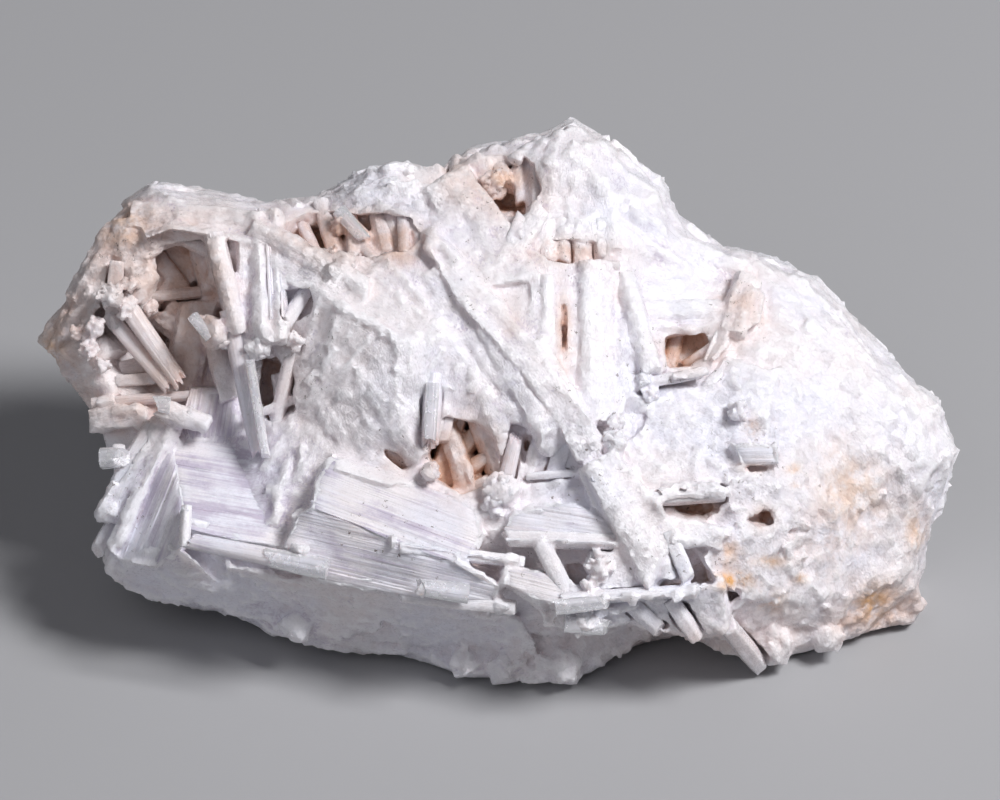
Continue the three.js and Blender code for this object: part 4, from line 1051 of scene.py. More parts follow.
@lru_cache(maxsize=None)
def column_surface():
    """Corners, triangles, owners and grain of the narrow crystals, with their fibres."""
    built = bmesh.new()
    rng = np.random.default_rng(17)
    add_crystals(built, rng, crystal_rows(False))
    add_knobs(built, rng)
    even = evened(built, COLUMN_PITCH * MM)
    corners, _ = triangles_of(even)
    normals = normals_of(even)
    owners, grains = nearest_axis(corners)
    knob = owners >= len(crystal_rows(False))
    along = (corners * grains).sum(1, keepdims=True) * grains
    threads = corners - 0.985 * along + owners[:, None] * 2.3
    fibres = 0.04 * noise_at(threads, 1.0) + 0.05 * (0.3 - np.abs(noise_at(threads, 2.0)))
    pits = 0.04 * noise_at(corners, 0.8)
    grit = 0.16 * (0.3 - np.abs(noise_at(corners, 1.3))) + 0.08 * noise_at(corners, 2.6)
    shift = np.where(knob, grit, fibres + pits)
    corners = corners + normals * shift[:, None]
    corners, triangles = thinned(even, corners, COLUMN_TRIANGLES)
    return corners, triangles, *nearest_axis(corners)


def within(u, v, outline):
    """True for the places inside an outline on the face."""
    inside = np.zeros(len(u), bool)
    for (u0, v0), (u1, v1) in zip(outline, np.roll(outline, 1, 0)):
        crosses = (v0 > v) != (v1 > v)
        inside ^= crosses & (u < (u1 - u0) * (v - v0) / (v1 - v0 + 1e-9) + u0)
    return inside


def open_above(points):
    """True for points in the mouth of an opening, or beside a crystal that stands free."""
    u, v, w = to_face(points).T
    free = np.zeros(len(u), bool)
    near = [row for row in CRYSTALS if row[0] in FREE]
    near += [row for row in INGROWN[:CLEARED_WALLS] if row[6] > CLEARED_WIDTH]
    for row in np.array(near, float):
        foot, axis = row[:2], row[3:5] - row[:2]
        share = np.clip((np.column_stack((u, v)) - foot) @ axis / (axis @ axis), FREE_FROM, 1)
        gap = np.hypot(u - foot[0] - share * axis[0], v - foot[1] - share * axis[1])
        free |= (gap < row[6] / 2 + 0.3) & (w > min(row[2], row[5]) - 1)
    for bottom, outline in OPENINGS:
        free |= within(u, v, np.array(outline, float)) & (w > bottom + 2)
    return free


def fibrous(points):
    """True for points on the face of a fibrous block."""
    u, v, w = to_face(points).T
    under = np.zeros(len(u), bool)
    for angle, _, corners in BLOCKS:
        if angle not in FIBROUS:
            continue
        corners = np.asarray(corners, float)
        a, b, c = plane_through(corners)
        under |= within(u, v, corners[:, :2]) & (np.abs(w - a * u - b * v - c) < 1.2)
    return under


def noise_at(points, scale):
    """Smooth noise from -1 to 1 at each point, finer with a higher scale."""
    return np.array([noise.noise(Vector(point)) for point in points * scale])


def relief(corners, grains, sugar, edge, fibres):
    """Swells, ridges along the grain, grit on the crusts, and chips along the edges.

    Where there are fibres, the ground sinks instead, to make room for a slab.
    """
    along = (corners * grains).sum(1, keepdims=True) * grains
    threads = corners - 0.93 * along
    ridges = 0.05 * noise_at(threads, 0.7) + 0.05 * (0.3 - np.abs(noise_at(threads, 1.5)))
    grit = 0.2 * noise_at(corners, 0.5) + 0.22 * (0.3 - np.abs(noise_at(corners, 1.0)))
    grit += 0.15 * noise_at(corners, 1.9)
    chips = (0.3 - np.abs(noise_at(corners, 0.9))) * 0.25 * edge
    swell = 0.24 * noise_at(corners, 0.4) + 0.12 * noise_at(corners + 50, 0.8)
    shift = swell + ridges * (1 - 0.6 * sugar) + grit * (0.3 + 0.7 * sugar) + chips
    return shift * (1 - fibres) - FIBRES_SUNK * fibres


def grain_coordinates(corners, triangles, owners, grains):
    """A map for each triangle's corner, along and across the grain of its first corner."""
    first = triangles[:, 0]
    grain = grains[first]
    normal = unit(np.cross(corners[triangles[:, 1]] - corners[first],
                           corners[triangles[:, 2]] - corners[first]))
    turned = np.abs(normal) > 0.5
    across = unit(np.cross(grain, np.where(turned, np.sign(normal), 0.3 * normal)))
    places = corners[triangles]
    along = (places * grain[:, None]).sum(-1)
    sideways = (places * across[:, None]).sum(-1)
    return np.stack((along, sideways + owners[first][:, None] * 7.3), -1)


@lru_cache(maxsize=None)
def skin_faces():
    """Middle, normal and area of each triangle of the ground."""
    corners, triangles, _, _ = skin_surface()
    a, b, c = corners[triangles].transpose(1, 0, 2)
    normals = np.cross(b - a, c - a)
    areas = np.linalg.norm(normals, axis=1) / 2
    return (a + b + c) / 3, unit(normals), areas


def scatter(count, weights, rng):
    """Random triangles of the ground, as many as count, by area and weight."""
    areas = skin_faces()[2]
    chance = areas * weights
    return rng.choice(len(areas), count, p=chance / chance.sum())


# ---------------------------------------------------------------- crystals


def crossings(sideways, forward, line):
    """Where a line along the grain enters and leaves an outline, its longest stretch."""
    cuts = []
    for i in range(len(sideways)):
        a, b = sideways[i - 1] - line, sideways[i] - line
        if a * b < 0:
            cuts.append(forward[i - 1] + a / (a - b) * (forward[i] - forward[i - 1]))
    cuts.sort()
    return max(zip(cuts[::2], cuts[1::2]), key=lambda ends: ends[1] - ends[0], default=None)


LINE = 0.14  # mm between the lines of a striated face, across its grain
STATION = 0.5  # mm between its rows, along the grain
SLAB_LIFT = 0.04
SLAB_DEPTH = 1.2
RIM_DIP = 0.4  # mm, by which its rim bends down
RIM_REACH = 0.5
SHORTEST_LINE = 0.8
FIBROUS = (-10, -112, 80, -20, -13, -14, -9, 1)  # grain of the blocks with fibres


def striated_slab(heap, rng, angle, fibre, corners):
    """A slab whose face is made of parallel fibres with ends of their own."""
    corners = np.asarray(corners, float)
    a, b, c = plane_through(corners)
    off = corners[:, 2] - corners[:, :2] @ (a, b) - c
    turn = math.radians(angle)
    along = np.array((math.cos(turn), math.sin(turn)))
    across = np.array((-along[1], along[0]))
    sideways, forward = corners[:, :2] @ across, corners[:, :2] @ along
    low, high = sideways.min(), sideways.max()
    bounds = low + np.cumsum(fibre * rng.lognormal(-0.3, 0.8, int(5 * (high - low) / fibre) + 8))
    lines = np.arange(low + LINE / 2, high, LINE)
    owner = np.searchsorted(bounds, lines)
    left = np.concatenate(((low,), bounds))[owner]
    inside = (lines - left) / (bounds[owner] - left)
    count = len(bounds) + 1
    short = rng.uniform(-0.3, 0.3, (count, 2)) * rng.uniform(0, 1, (count, 1)) ** 2
    level, lean = rng.normal(0, 0.4, count), rng.normal(0, 0.3, count)
    breaks, steps = rng.uniform(0.1, 0.9, (count, 2)), rng.normal(0, 0.4, (count, 2))
    rows = []
    for line, k, share in zip(lines, owner, inside):
        ends = crossings(sideways, forward, line)
        if ends is None:
            continue
        start, end = ends[0] + short[k, 0], ends[1] + short[k, 1]
        if end - start < SHORTEST_LINE:
            middle = (ends[0] + ends[1]) / 2
            start, end = middle - SHORTEST_LINE / 2, middle + SHORTEST_LINE / 2
        rows.append((line, start, end, k, share))
    rows = np.array(rows)
    stations = max(4, int((rows[:, 2] - rows[:, 1]).max() / STATION))
    share = np.linspace(0, 1, stations)
    t = rows[:, 1:2] + (rows[:, 2:3] - rows[:, 1:2]) * share
    u = across[0] * rows[:, :1] + along[0] * t
    v = across[1] * rows[:, :1] + along[1] * t
    near = 1 / ((u[..., None] - corners[:, 0]) ** 2 + (v[..., None] - corners[:, 1]) ** 2 + 0.4)
    w = a * u + b * v + c + (near * off).sum(-1) / near.sum(-1)
    k = rows[:, 3].astype(int)
    round_top = 1 - np.abs(2 * rows[:, 4] - 1) ** 3
    height = level[k] + 0.8 * round_top + lean[k] * (rows[:, 4] - 0.5)
    height = height[:, None] + sum(
        steps[k, i][:, None] / (1 + np.exp(-60 * (share - breaks[k, i][:, None])))
        for i in range(2))
    wave = np.array([[noise.noise(Vector((0.22 * at, 4.1 * number, 0.9))) for at in row]
                     for number, row in zip(k, t)])
    w = w + SLAB_LIFT + min(0.07, 0.14 * fibre) * (height + 1.2 * wave)
    rim = np.minimum(share, 1 - share)[None] * (rows[:, 2:3] - rows[:, 1:2])
    rim = np.minimum(rim, np.minimum(rows[:, :1] - low, high - rows[:, :1]) * 1.6)
    w = w - RIM_DIP * np.exp(-rim / RIM_REACH)
    top = np.stack((u, v, w), -1)
    around = ([(i, 0) for i in range(len(rows))] + [(len(rows) - 1, j) for j in range(1, stations)]
              + [(i, stations - 1) for i in range(len(rows) - 2, -1, -1)]
              + [(0, j) for j in range(stations - 2, 0, -1)])
    ring = np.array(around)
    rim = top[ring[:, 0], ring[:, 1]]
    rim = rim * (1, 1, 0) + (0, 0, w.min() - SLAB_DEPTH)
    points = np.concatenate((top.reshape(-1, 3), rim, rim.mean(0, keepdims=True)))
    at = np.arange(len(rows) * stations).reshape(len(rows), stations)
    p, q, r, o = at[:-1, :-1], at[1:, :-1], at[1:, 1:], at[:-1, 1:]
    triangles = [np.stack((p, o, r), -1).reshape(-1, 3), np.stack((p, r, q), -1).reshape(-1, 3)]
    upper, lower = at[ring[:, 0], ring[:, 1]], at.size + np.arange(len(ring))
    upper_next, lower_next = np.roll(upper, -1), np.roll(lower, -1)
    triangles += [np.column_stack((upper, upper_next, lower_next)),
                  np.column_stack((upper, lower_next, lower)),
                  np.column_stack((lower, lower_next, np.full(len(ring), len(points) - 1)))]
    triangles = np.concatenate(triangles)
    places = np.column_stack((np.concatenate((t.ravel(), t[ring[:, 0], ring[:, 1]], (0,))),
                              np.concatenate((np.repeat(rows[:, 0], stations),
                                              rows[ring[:, 0], 0], (0,)))))
    tones = rng.uniform(0, 1, count)[k]
    tones = np.concatenate((np.repeat(tones, stations), tones[ring[:, 0]], (0.5,)))
    heap.add(from_face(points), triangles, places[triangles] + rng.uniform(0, 90, 2), tones)


def laid_slabs(heap):
    """The faces of the blocks that have fibres."""
    rng = np.random.default_rng(21)
    for angle, fibre, corners in BLOCKS:
        if angle in FIBROUS:
            striated_slab(heap, rng, angle, 0.5 * fibre, corners)


def fluted_crystal(heap, rng, foot, tip, facing, width, depth, fibre, slant=0.5, ragged=0.6):
    """A crystal of rounded section with fine fibres along it, each of which ends on its own."""
    axis, length = unit(tip - foot), np.linalg.norm(tip - foot)
    side = unit(np.cross(axis, facing))
    top = np.cross(side, axis)
    count = max(20, int(1.7 * (width + depth) / LINE))
    angle = np.arange(count) / count * 2 * np.pi
    round_box = (np.abs(np.cos(angle)) ** 2.5 + np.abs(np.sin(angle)) ** 2.5) ** (-1 / 2.5)
    squeeze = 1 + 0.05 * np.sin(angle + rng.uniform(0, 6)) + 0.04 * np.sin(3 * angle + rng.uniform(0, 6))
    x = np.cos(angle) * round_box * squeeze * width / 2
    y = np.sin(angle) * round_box * squeeze * depth / 2
    around = np.concatenate(((0,), np.cumsum(np.hypot(np.diff(x), np.diff(y)))))
    total = around[-1] + math.hypot(x[0] - x[-1], y[0] - y[-1])
    bounds = np.cumsum(fibre * rng.lognormal(-0.1, 0.5, int(4 * total / fibre) + 6))
    bounds = np.append(bounds[bounds < total - 0.4 * fibre], total)
    owner = np.minimum(np.searchsorted(bounds, around, side="right"), len(bounds) - 1)
    left = np.concatenate(((0,), bounds))[owner]
    share = (around - left) / (bounds[owner] - left)
    amount = min(0.05, 0.14 * fibre, 0.04 * min(width, depth))
    bulge = amount * (1 - np.abs(2 * share - 1) ** 3 + rng.normal(0, 0.35, len(bounds))[owner])
    rings = max(4, int(length / 0.8))
    at = np.linspace(0, 1, rings)
    lean = rng.uniform(0, 2 * np.pi)
    end = slant * (x * math.cos(lean) + y * math.sin(lean))
    end = end.max() - end + ragged * width * (rng.uniform(0, 1, len(bounds)) ** 3)[owner]
    heights = at[:, None] * (length - np.minimum(end, 0.6 * length))[None]
    wave = np.array([[noise.noise(Vector((0.3 * height, 5.3 * number, foot[0])))
                      for height, number in zip(row, owner)] for row in heights])
    spread = 1 + (bulge[None] + amount * 0.8 * wave) / np.hypot(x, y)[None]
    spread = spread * (1 - 0.16 * at[:, None] ** 2)
    points = (foot + heights[..., None] * axis + (x * spread)[..., None] * side
              + (y * spread)[..., None] * top)
    last = foot + axis * (heights[-1].mean() + rng.uniform(-0.2, 0.1) * width)
    points = np.concatenate((points.reshape(-1, 3), last[None]))
    low = np.arange((rings - 1) * count).reshape(rings - 1, count)
    low_next = np.roll(low, -1, axis=1)
    triangles = [np.stack((low, low_next, low_next + count), -1).reshape(-1, 3),
                 np.stack((low, low_next + count, low + count), -1).reshape(-1, 3)]
    edge = np.arange(count)
    rim = (rings - 1) * count + edge
    triangles.append(np.column_stack((rim, np.roll(rim, -1), np.full(count, rings * count))))
    fan = edge[1:-1]
    triangles.append(np.column_stack((np.zeros(len(fan), int), fan + 1, fan)))
    triangles = np.concatenate(triangles)
    places = np.column_stack((np.append(heights.ravel(), length),
                              np.append(np.tile(around, rings), total / 2)))
    mapped = places[triangles]
    wrapped = np.ptp(mapped[..., 1], axis=1) > total / 2
    mapped[wrapped, :, 1] += np.where(mapped[wrapped, :, 1] < total / 2, total, 0)
    tones = np.append(np.tile(rng.uniform(0, 1, len(bounds))[owner], rings), 0.5)
    heap.add(points, triangles, mapped + rng.uniform(0, 90, 2), tones)


BUNDLE_COLUMNS = 12


def laid_crystals(heap):
    """The slender crystals laid one by one, and one broad bundle of fibres."""
    rng = np.random.default_rng(31)
    for row in np.array(CRYSTALS, float):
        width, depth = row[6:]
        if row[0] not in FREE:
            continue
        foot, tip = from_face(row[:3]), from_face(row[3:6])
        axis, length = unit(tip - foot), np.linalg.norm(tip - foot)
        side = unit(np.cross(axis, FACE_W))
        top = np.cross(side, axis)
        foot = foot - axis * 0.5
        bundled = row[0] == BUNDLE
        columns = BUNDLE_COLUMNS if bundled else 1
        for column in range(columns):
            across = ((column + 0.5) / columns - 0.5) * width * 0.95
            start = foot + side * across - top * rng.uniform(0, 0.25) * depth
            stop = start + axis * length * (rng.uniform(0.7, 1.04) if bundled else 1)
            start = start + axis * (rng.uniform(0, 2.5) if bundled else 0)
            each = width / columns * (rng.uniform(1.3, 2.2) if bundled else 1)
            fluted_crystal(heap, rng, start, stop, top + side * rng.normal(0, 0.1), each,
                           depth * (0.8 if bundled else 1), 0.25)


def grown_druse(heap):
    """Small crystals in the hollows, and a few on the crusts."""
    rng = np.random.default_rng(61)
    middles, normals, _ = skin_faces()
    hollow = crowding(middles + normals * 1.2, HOLLOW_BLUR)
    sugar = stain(middles, SUGARY)
    weights = np.clip((hollow - 0.55) / 0.1, 0, 1) + 0.02 * sugar
    weights *= (middles[:, 2] > 0.8) * np.where(to_face(middles)[:, 2] < -10, 0.35, 1)
    chosen = scatter(sizes().druse, weights, rng)
    places = middles[chosen] - normals[chosen] * 0.3
    outs = normals[chosen]
    count = len(places)
    along = unit(outs + rng.normal(0, 0.45, (count, 3)))
    lengths = np.clip(rng.lognormal(-0.7, 0.35, count), 0.3, 1.1)
    widths = np.clip(lengths * rng.uniform(0.7, 1.2, count), 0.3, 0.9)
    feet = places - along * 0.4
    tips = places + along * lengths[:, None] * 0.5
    good = keep_inside(tips) & keep_inside(feet)
    heap.add(*prisms(
        feet[good], tips[good], rng.normal(size=(good.sum(), 3)), widths[good],
        widths[good] * rng.uniform(0.6, 1, good.sum()), rng,
        corners=6, rings=2, flute=0.1, taper=0.15, ragged=0.3, slant=0.6))


# Clear crystals: foot u, v, w, tip u, v, w, width and depth.
CLEAR_CRYSTALS = [
    (-18.8, -18.4, 12.7, -26, -17, 11.9, 2.3, 2.1), (-3.4, -21.1, 13, -9.2, -20.3, 13.2, 2.1, 2),
    (-36.2, -0.6, 4.6, -38.2, -0.4, 4.9, 1.9, 1.7), (7, -24.2, 12, 12.2, -24.8, 11.4, 2, 1.9),
    (-33.6, 9.2, 5.2, -31.6, 6.6, 6.4, 1.2, 1.2), (-43.6, -6.4, 2, -40.8, -6.2, 3.2, 2.2, 2),
    (6, -22.5, 14.2, 12, -21.9, 14.2, 1.6, 1.5), (-17.6, 20.8, 1, -14.6, 17.4, 3, 1.5, 1.5),
    (-7.3, 1.8, 10.4, -7.6, -4.6, 11.6, 1.4, 1.2), (-27.4, 4.4, 7.2, -25.6, -6.4, 7, 1, 1),
]


def laid_clear(heap):
    """The short clear crystals."""
    rng = np.random.default_rng(81)
    for row in np.array(CLEAR_CRYSTALS, float):
        foot, tip = from_face(row[:3]), from_face(row[3:6])
        facing = FACE_W + rng.normal(0, 0.2, 3)
        fluted_crystal(heap, rng, foot, tip, facing, row[6], row[7], 0.6, 0.5, 0.2)


# ---------------------------------------------------------------- finishes

# Scales of the patterns, per millimetre, and of the last two along and across the grain.
WARM_PATCHES, STAIN_PATCHES, CLOUDS, GRIT = 0.09, 0.5, 0.27, 3.0
CRUMBS, CRUMB_RAGGEDNESS = 2.7, 5.0
BROAD_FACETS, SMALL_FACETS = 0.7, 2.2
BANDS, STREAKS = (0.05, 1.1, 1.0), (0.08, 4.2, 1.0)
# Whiter colour of sharp edges: frost, partly a painted highlight.
FROST_AND_HIGHLIGHT = (0.97, 0.96, 0.98)
REFRACTION = 1.5
SCATTER = (1.0, 0.8, 0.72)  # how far red, green and blue go in, by the finish's reach
BUMP_HEIGHT = 0.00034


class Finish:
    """A material, and short ways to add and link its nodes."""

    def __init__(self, name):
        self.material = bpy.data.materials.new(name)
        self.material.use_nodes = True
        self.tree = self.material.node_tree
        self.shader = self.tree.nodes["Principled BSDF"]

    def node(self, kind, inputs=(), **settings):
        made = self.tree.nodes.new(kind)
        for name, value in settings.items():
            setattr(made, name, value)
        for name, value in dict(inputs).items():
            self.put(value, made.inputs[name])
        return made

    def put(self, value, socket):
        if isinstance(value, bpy.types.NodeSocket):
            self.tree.links.new(value, socket)
        elif value is not None:
            socket.default_value = value

    def painted(self, name):
        return self.node("ShaderNodeAttribute", attribute_name=name).outputs["Fac"]

    def math(self, operation, first, second):
        made = self.node("ShaderNodeMath", operation=operation)
        for socket, value in zip(made.inputs, (first, second)):
            self.put(value, socket)
        return made.outputs[0]

    def total(self, first, *others):
        for other in others:
            first = self.math("ADD", first, other)
        return first

    def inside(self, value):
        return self.node("ShaderNodeClamp", {"Value": value}).outputs[0]

    def range(self, value, low, high, to_low=0.0, to_high=1.0):
        made = self.node("ShaderNodeMapRange", {
            "Value": value, "From Min": low, "From Max": high, "To Min": to_low, "To Max": to_high})
        return made.outputs["Result"]

    def mix(self, share, first, second):
        made = self.node("ShaderNodeMix", data_type="RGBA")
        for socket, value in ((0, share), (6, first), (7, second)):
            self.put(value, made.inputs[socket])
        return made.outputs[2]

    def noise(self, place, scale, detail=2.0, roughness=0.5, dimensions="3D"):
        made = self.node("ShaderNodeTexNoise", {
            "Vector": place, "Scale": scale, "Detail": detail, "Roughness": roughness},
            noise_dimensions=dimensions)
        return made.outputs["Fac"]

    def broken(self, place, scale, strength):
        """A height made of small flat facets, each with a slope of its own."""
        cells = self.node("ShaderNodeTexVoronoi", {"Vector": place, "Scale": scale}).outputs
        slope = self.node("ShaderNodeVectorMath", {0: cells["Color"], 1: (0.5, 0.5, 0.5)},
                          operation="SUBTRACT").outputs[0]
        offset = self.node("ShaderNodeVectorMath", {
            0: self.node("ShaderNodeVectorMath", {0: place, "Scale": scale},
                         operation="SCALE").outputs[0],
            1: cells["Position"]}, operation="SUBTRACT").outputs[0]
        rise = self.node("ShaderNodeVectorMath", {0: slope, 1: offset},
                         operation="DOT_PRODUCT").outputs["Value"]
        return self.math("MULTIPLY", rise, self.math("MULTIPLY", strength, 1 / scale))

    def place(self):
        """The object's own place, in millimetres."""
        at = self.node("ShaderNodeTexCoord").outputs["Object"]
        return self.node("ShaderNodeMapping", {"Vector": at, "Scale": (1000, 1000, 1000)}).outputs[0]

    def along_grain(self, squeeze):
        at = self.node("ShaderNodeUVMap", uv_map="grain").outputs[0]
        return self.node("ShaderNodeMapping", {"Vector": at, "Scale": squeeze}).outputs[0]


def opaque(colour):
    return (*colour, 1.0)


def crystal_finish(name, roughness, subsurface, streaks, sugar, clarity, reach, through=0.0,
                   crease_stain_and_shade_strength=0.1, glints=0.3):
    """Milky crystal: frosted at its edges, clearer inside, stained in creases and hollows. The frost of
    the edges is partly a painted highlight, and the stain of the creases and hollows partly painted
    shade.

    streaks, sugar and glints are the heights of the fibres, the grit and the small broken
    facets. clarity is how much of its darker, clearer tone it has away from the parts painted clear;
    that tone is partly painted shade.
    reach is how far light goes in, in metres, through how much of it goes right through, and
    crease_stain_and_shade_strength how strongly the creases take the stain colour and its painted shade.
    """
    f = Finish(name)
    shades = colours()
    place = f.place()
    broad = f.noise(place, WARM_PATCHES, 3.0)
    patchy = f.noise(place, STAIN_PATCHES, 4.0, 0.6)
    cloudy = f.noise(place, CLOUDS, 4.0, 0.55)
    fine = f.noise(place, GRIT, 3.0, 0.65)
    band = f.noise(f.along_grain(BANDS), 1.0, 3.0, 0.6, "2D")
    streak = f.noise(f.along_grain(STREAKS), 1.0, 3.0, 0.65, "2D")
    warmth = f.math("ADD", f.range(broad, 0.38, 0.62), f.range(f.painted("tone"), 0, 1, -0.25, 0.25))
    colour = f.mix(f.inside(warmth), opaque(shades.white), opaque(shades.cream))
    # Share of the darker clear tone, partly painted shade on the underside and the lower-left block
    clear = f.total(
        f.range(cloudy, 0.3, 0.7, -1.0, 0.5), f.range(band, 0.3, 0.7, -0.5, 0.5),
        f.range(f.painted("tone"), 0, 1, -0.2, 0.2), f.range(f.painted("glassy_and_shaded"), 0, 1, clarity, 0.75),
        f.range(f.painted("edge"), 0, 1, 0, -0.9), f.range(f.painted("sugar"), 0, 1, 0, -1.1),
        f.range(streak, 0.3, 0.7, -0.45, 0.45))
    colour = f.mix(f.inside(clear), colour, opaque(shades.glass_and_shade))
    # Whiter frost on sharp edges, partly a painted highlight
    frost_and_highlight = f.math("MULTIPLY", f.painted("edge"), 0.6)
    colour = f.mix(f.inside(frost_and_highlight), colour, opaque(FROST_AND_HIGHLIGHT))
    # Stain colour in the creases, partly painted shade
    crease_stain_and_shade = f.math("MULTIPLY", f.painted("crease_stain_and_shade"), f.range(patchy, 0.4, 0.65, 0.0, crease_stain_and_shade_strength))
    # Stain of the hollows, with painted shade where they are deep
    stained = f.math("MULTIPLY", f.painted("tan"), f.range(patchy, 0.32, 0.6, 0.55, 1.25))
    colour = f.mix(f.inside(f.math("ADD", stained, crease_stain_and_shade)), colour, opaque(shades.tan))
    rusty = f.math("MULTIPLY", f.painted("rust"), f.range(patchy, 0.36, 0.58, 0.2, 1.4))
    colour = f.mix(f.inside(rusty), colour, opaque(shades.rust))
    ragged = f.node("ShaderNodeVectorMath", {
        0: place,
        1: f.node("ShaderNodeTexNoise", {"Vector": place, "Scale": CRUMB_RAGGEDNESS}).outputs["Color"],
    }, operation="ADD")
    crumbs = f.node("ShaderNodeTexVoronoi", {"Vector": ragged.outputs[0], "Scale": CRUMBS})
    cell = f.node("ShaderNodeSeparateColor", {"Color": crumbs.outputs["Color"]}).outputs
    radius = f.range(f.math("POWER", cell[1], 2.0), 0, 1, 0.12, 0.5)
    close = f.range(f.math("SUBTRACT", crumbs.outputs["Distance"], radius), -0.08, 0.03, 1.0, 0.0)
    chosen = f.range(f.math("ADD", cell[0], f.math("MULTIPLY", f.painted("dirt"), 0.3)), 0.985, 1.03)
    colour = f.mix(f.math("MULTIPLY", f.math("MULTIPLY", close, chosen), 0.8), colour,
                   opaque(shades.dirt))
    s = f.shader.inputs
    f.put(colour, s["Base Color"])
    f.put(f.range(f.math("ADD", f.math("MULTIPLY", fine, 0.5), f.math("MULTIPLY", streak, 0.5)),
                  0.35, 0.65, *roughness), s["Roughness"])
    s["IOR"].default_value = REFRACTION
    s["Subsurface Weight"].default_value = subsurface
    f.shader.subsurface_method = "BURLEY"
    s["Subsurface Radius"].default_value = SCATTER
    s["Subsurface Scale"].default_value = reach
    if through:
        f.put(f.range(f.inside(clear), 0, 1, 0.15 * through, through), s["Transmission Weight"])
    facets = f.range(f.painted("sugar"), 0, 1, 0.35 * glints, glints)
    grit_height = f.math("MULTIPLY", fine, f.range(f.painted("sugar"), 0, 1, 0.35, 1.0))
    height = f.total(f.math("MULTIPLY", grit_height, sugar), f.math("MULTIPLY", streak, streaks),
                     f.math("MULTIPLY", band, streaks), f.broken(place, BROAD_FACETS, facets),
                     f.broken(place, SMALL_FACETS, f.math("MULTIPLY", facets, 0.6)))
    bump = f.node("ShaderNodeBump", {"Height": height, "Strength": 0.9, "Distance": BUMP_HEIGHT})
    f.put(bump.outputs["Normal"], s["Normal"])
    return f.material


def clear_finish(name):
    """Clear crystal with thin veils in it."""
    f = Finish(name)
    place = f.place()
    veils = f.noise(place, 0.9, 3.0, 0.6)
    s = f.shader.inputs
    f.put(f.mix(f.range(veils, 0.4, 0.65), (0.93, 0.93, 0.97, 1), (0.99, 0.99, 1, 1)), s["Base Color"])
    f.put(f.range(veils, 0.35, 0.65, 0.1, 0.4), s["Roughness"])
    s["IOR"].default_value = REFRACTION
    s["Transmission Weight"].default_value = 0.6
    bump = f.node("ShaderNodeBump", {
        "Height": f.noise(f.along_grain((0.3, 2.4, 1)), 1.0, 3.0, 0.6, "2D"),
        "Strength": 0.4, "Distance": 0.00015})
    f.put(bump.outputs["Normal"], s["Normal"])
    return f.material


# ---------------------------------------------------------------- operators

# Degrees between two faces, from which the edge between them is sharp.
SHARP_ANGLE = 35
PRISM_ANGLE = 30
CLEAR_ANGLE = 24
EDGE_ROUNDS = 8  # how far round a corner its edges and creases are looked for


def place_piece(mesh, material, smooth_below=None):
    """A piece in the scene, shaded flat or smooth below an angle."""
    mesh.materials.append(material)
    if smooth_below is None:
        mesh.shade_flat()
    else:
        mesh.shade_smooth()
        mesh.set_sharp_from_angle(angle=math.radians(smooth_below))
    piece = bpy.data.objects.new(mesh.name, mesh)
    bpy.context.scene.collection.objects.link(piece)
    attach(piece, BODY)
    return piece


class CLUSTER_OT_ground(bpy.types.Operator):
    """Builds the massive ground, with its openings and blades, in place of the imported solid"""

    bl_idname = "cluster.ground"
    bl_label = "Ground"

    def execute(self, context):
        corners, triangles, owners, grains = skin_surface()
        rng = np.random.default_rng(5)
        maps = grain_coordinates(corners, triangles, owners, grains)
        mesh = mesh_from("massive_ground", corners.copy(), triangles, maps,
                         np.full(len(corners), rng.uniform(0.4, 0.6)), EDGE_ROUNDS)
        ground = place_piece(mesh, crystal_finish(
            "massive_cancrinite", roughness=(0.2, 0.42), subsurface=0.4, streaks=0.35, sugar=0.5,
            clarity=0.0, reach=0.0012, crease_stain_and_shade_strength=0.12, glints=1.9), SHARP_ANGLE)
        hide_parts(NODE)
        return {"FINISHED"}


class CLUSTER_OT_columns(bpy.types.Operator):
    """Grows the narrow crystals and the knobs that stand in the ground"""

    bl_idname = "cluster.columns"
    bl_label = "Crystals grown into the ground"

    def execute(self, context):
        corners, triangles, owners, grains = column_surface()
        tones = np.random.default_rng(6).uniform(0, 1, owners.max() + 1)[owners]
        maps = grain_coordinates(corners, triangles, owners, grains)
        mesh = mesh_from("ingrown_crystals", corners.copy(), triangles, maps, tones, EDGE_ROUNDS)
        place_piece(mesh, crystal_finish(
            "ingrown_crystal", roughness=(0.14, 0.36), subsurface=0.5, streaks=0.35, sugar=0.15,
            clarity=-0.3, reach=0.001, through=0.25), SHARP_ANGLE)
        return {"FINISHED"}


class CLUSTER_OT_crystals(bpy.types.Operator):
    """Lays the single crystals that stand free and the bundle"""

    bl_idname = "cluster.crystals"
    bl_label = "Laid crystals"

    def execute(self, context):
        heap = Heap()
        laid_crystals(heap)
        place_piece(heap.mesh("laid_crystals"), crystal_finish(
            "milky_prism", roughness=(0.12, 0.32), subsurface=0.7, streaks=0.4, sugar=0.1,
            clarity=-0.5, reach=0.001), PRISM_ANGLE)
        return {"FINISHED"}


class CLUSTER_OT_slabs(bpy.types.Operator):
    """Lays the striated faces of the blocks"""

    bl_idname = "cluster.slabs"
    bl_label = "Striated blocks"

    def execute(self, context):
        heap = Heap()
        laid_slabs(heap)
        place_piece(heap.mesh("striated_slabs"), crystal_finish(
            "fibrous_crystal", roughness=(0.2, 0.4), subsurface=0.5, streaks=0.6, sugar=0.15,
            clarity=0.3, reach=0.001), SHARP_ANGLE)
        return {"FINISHED"}


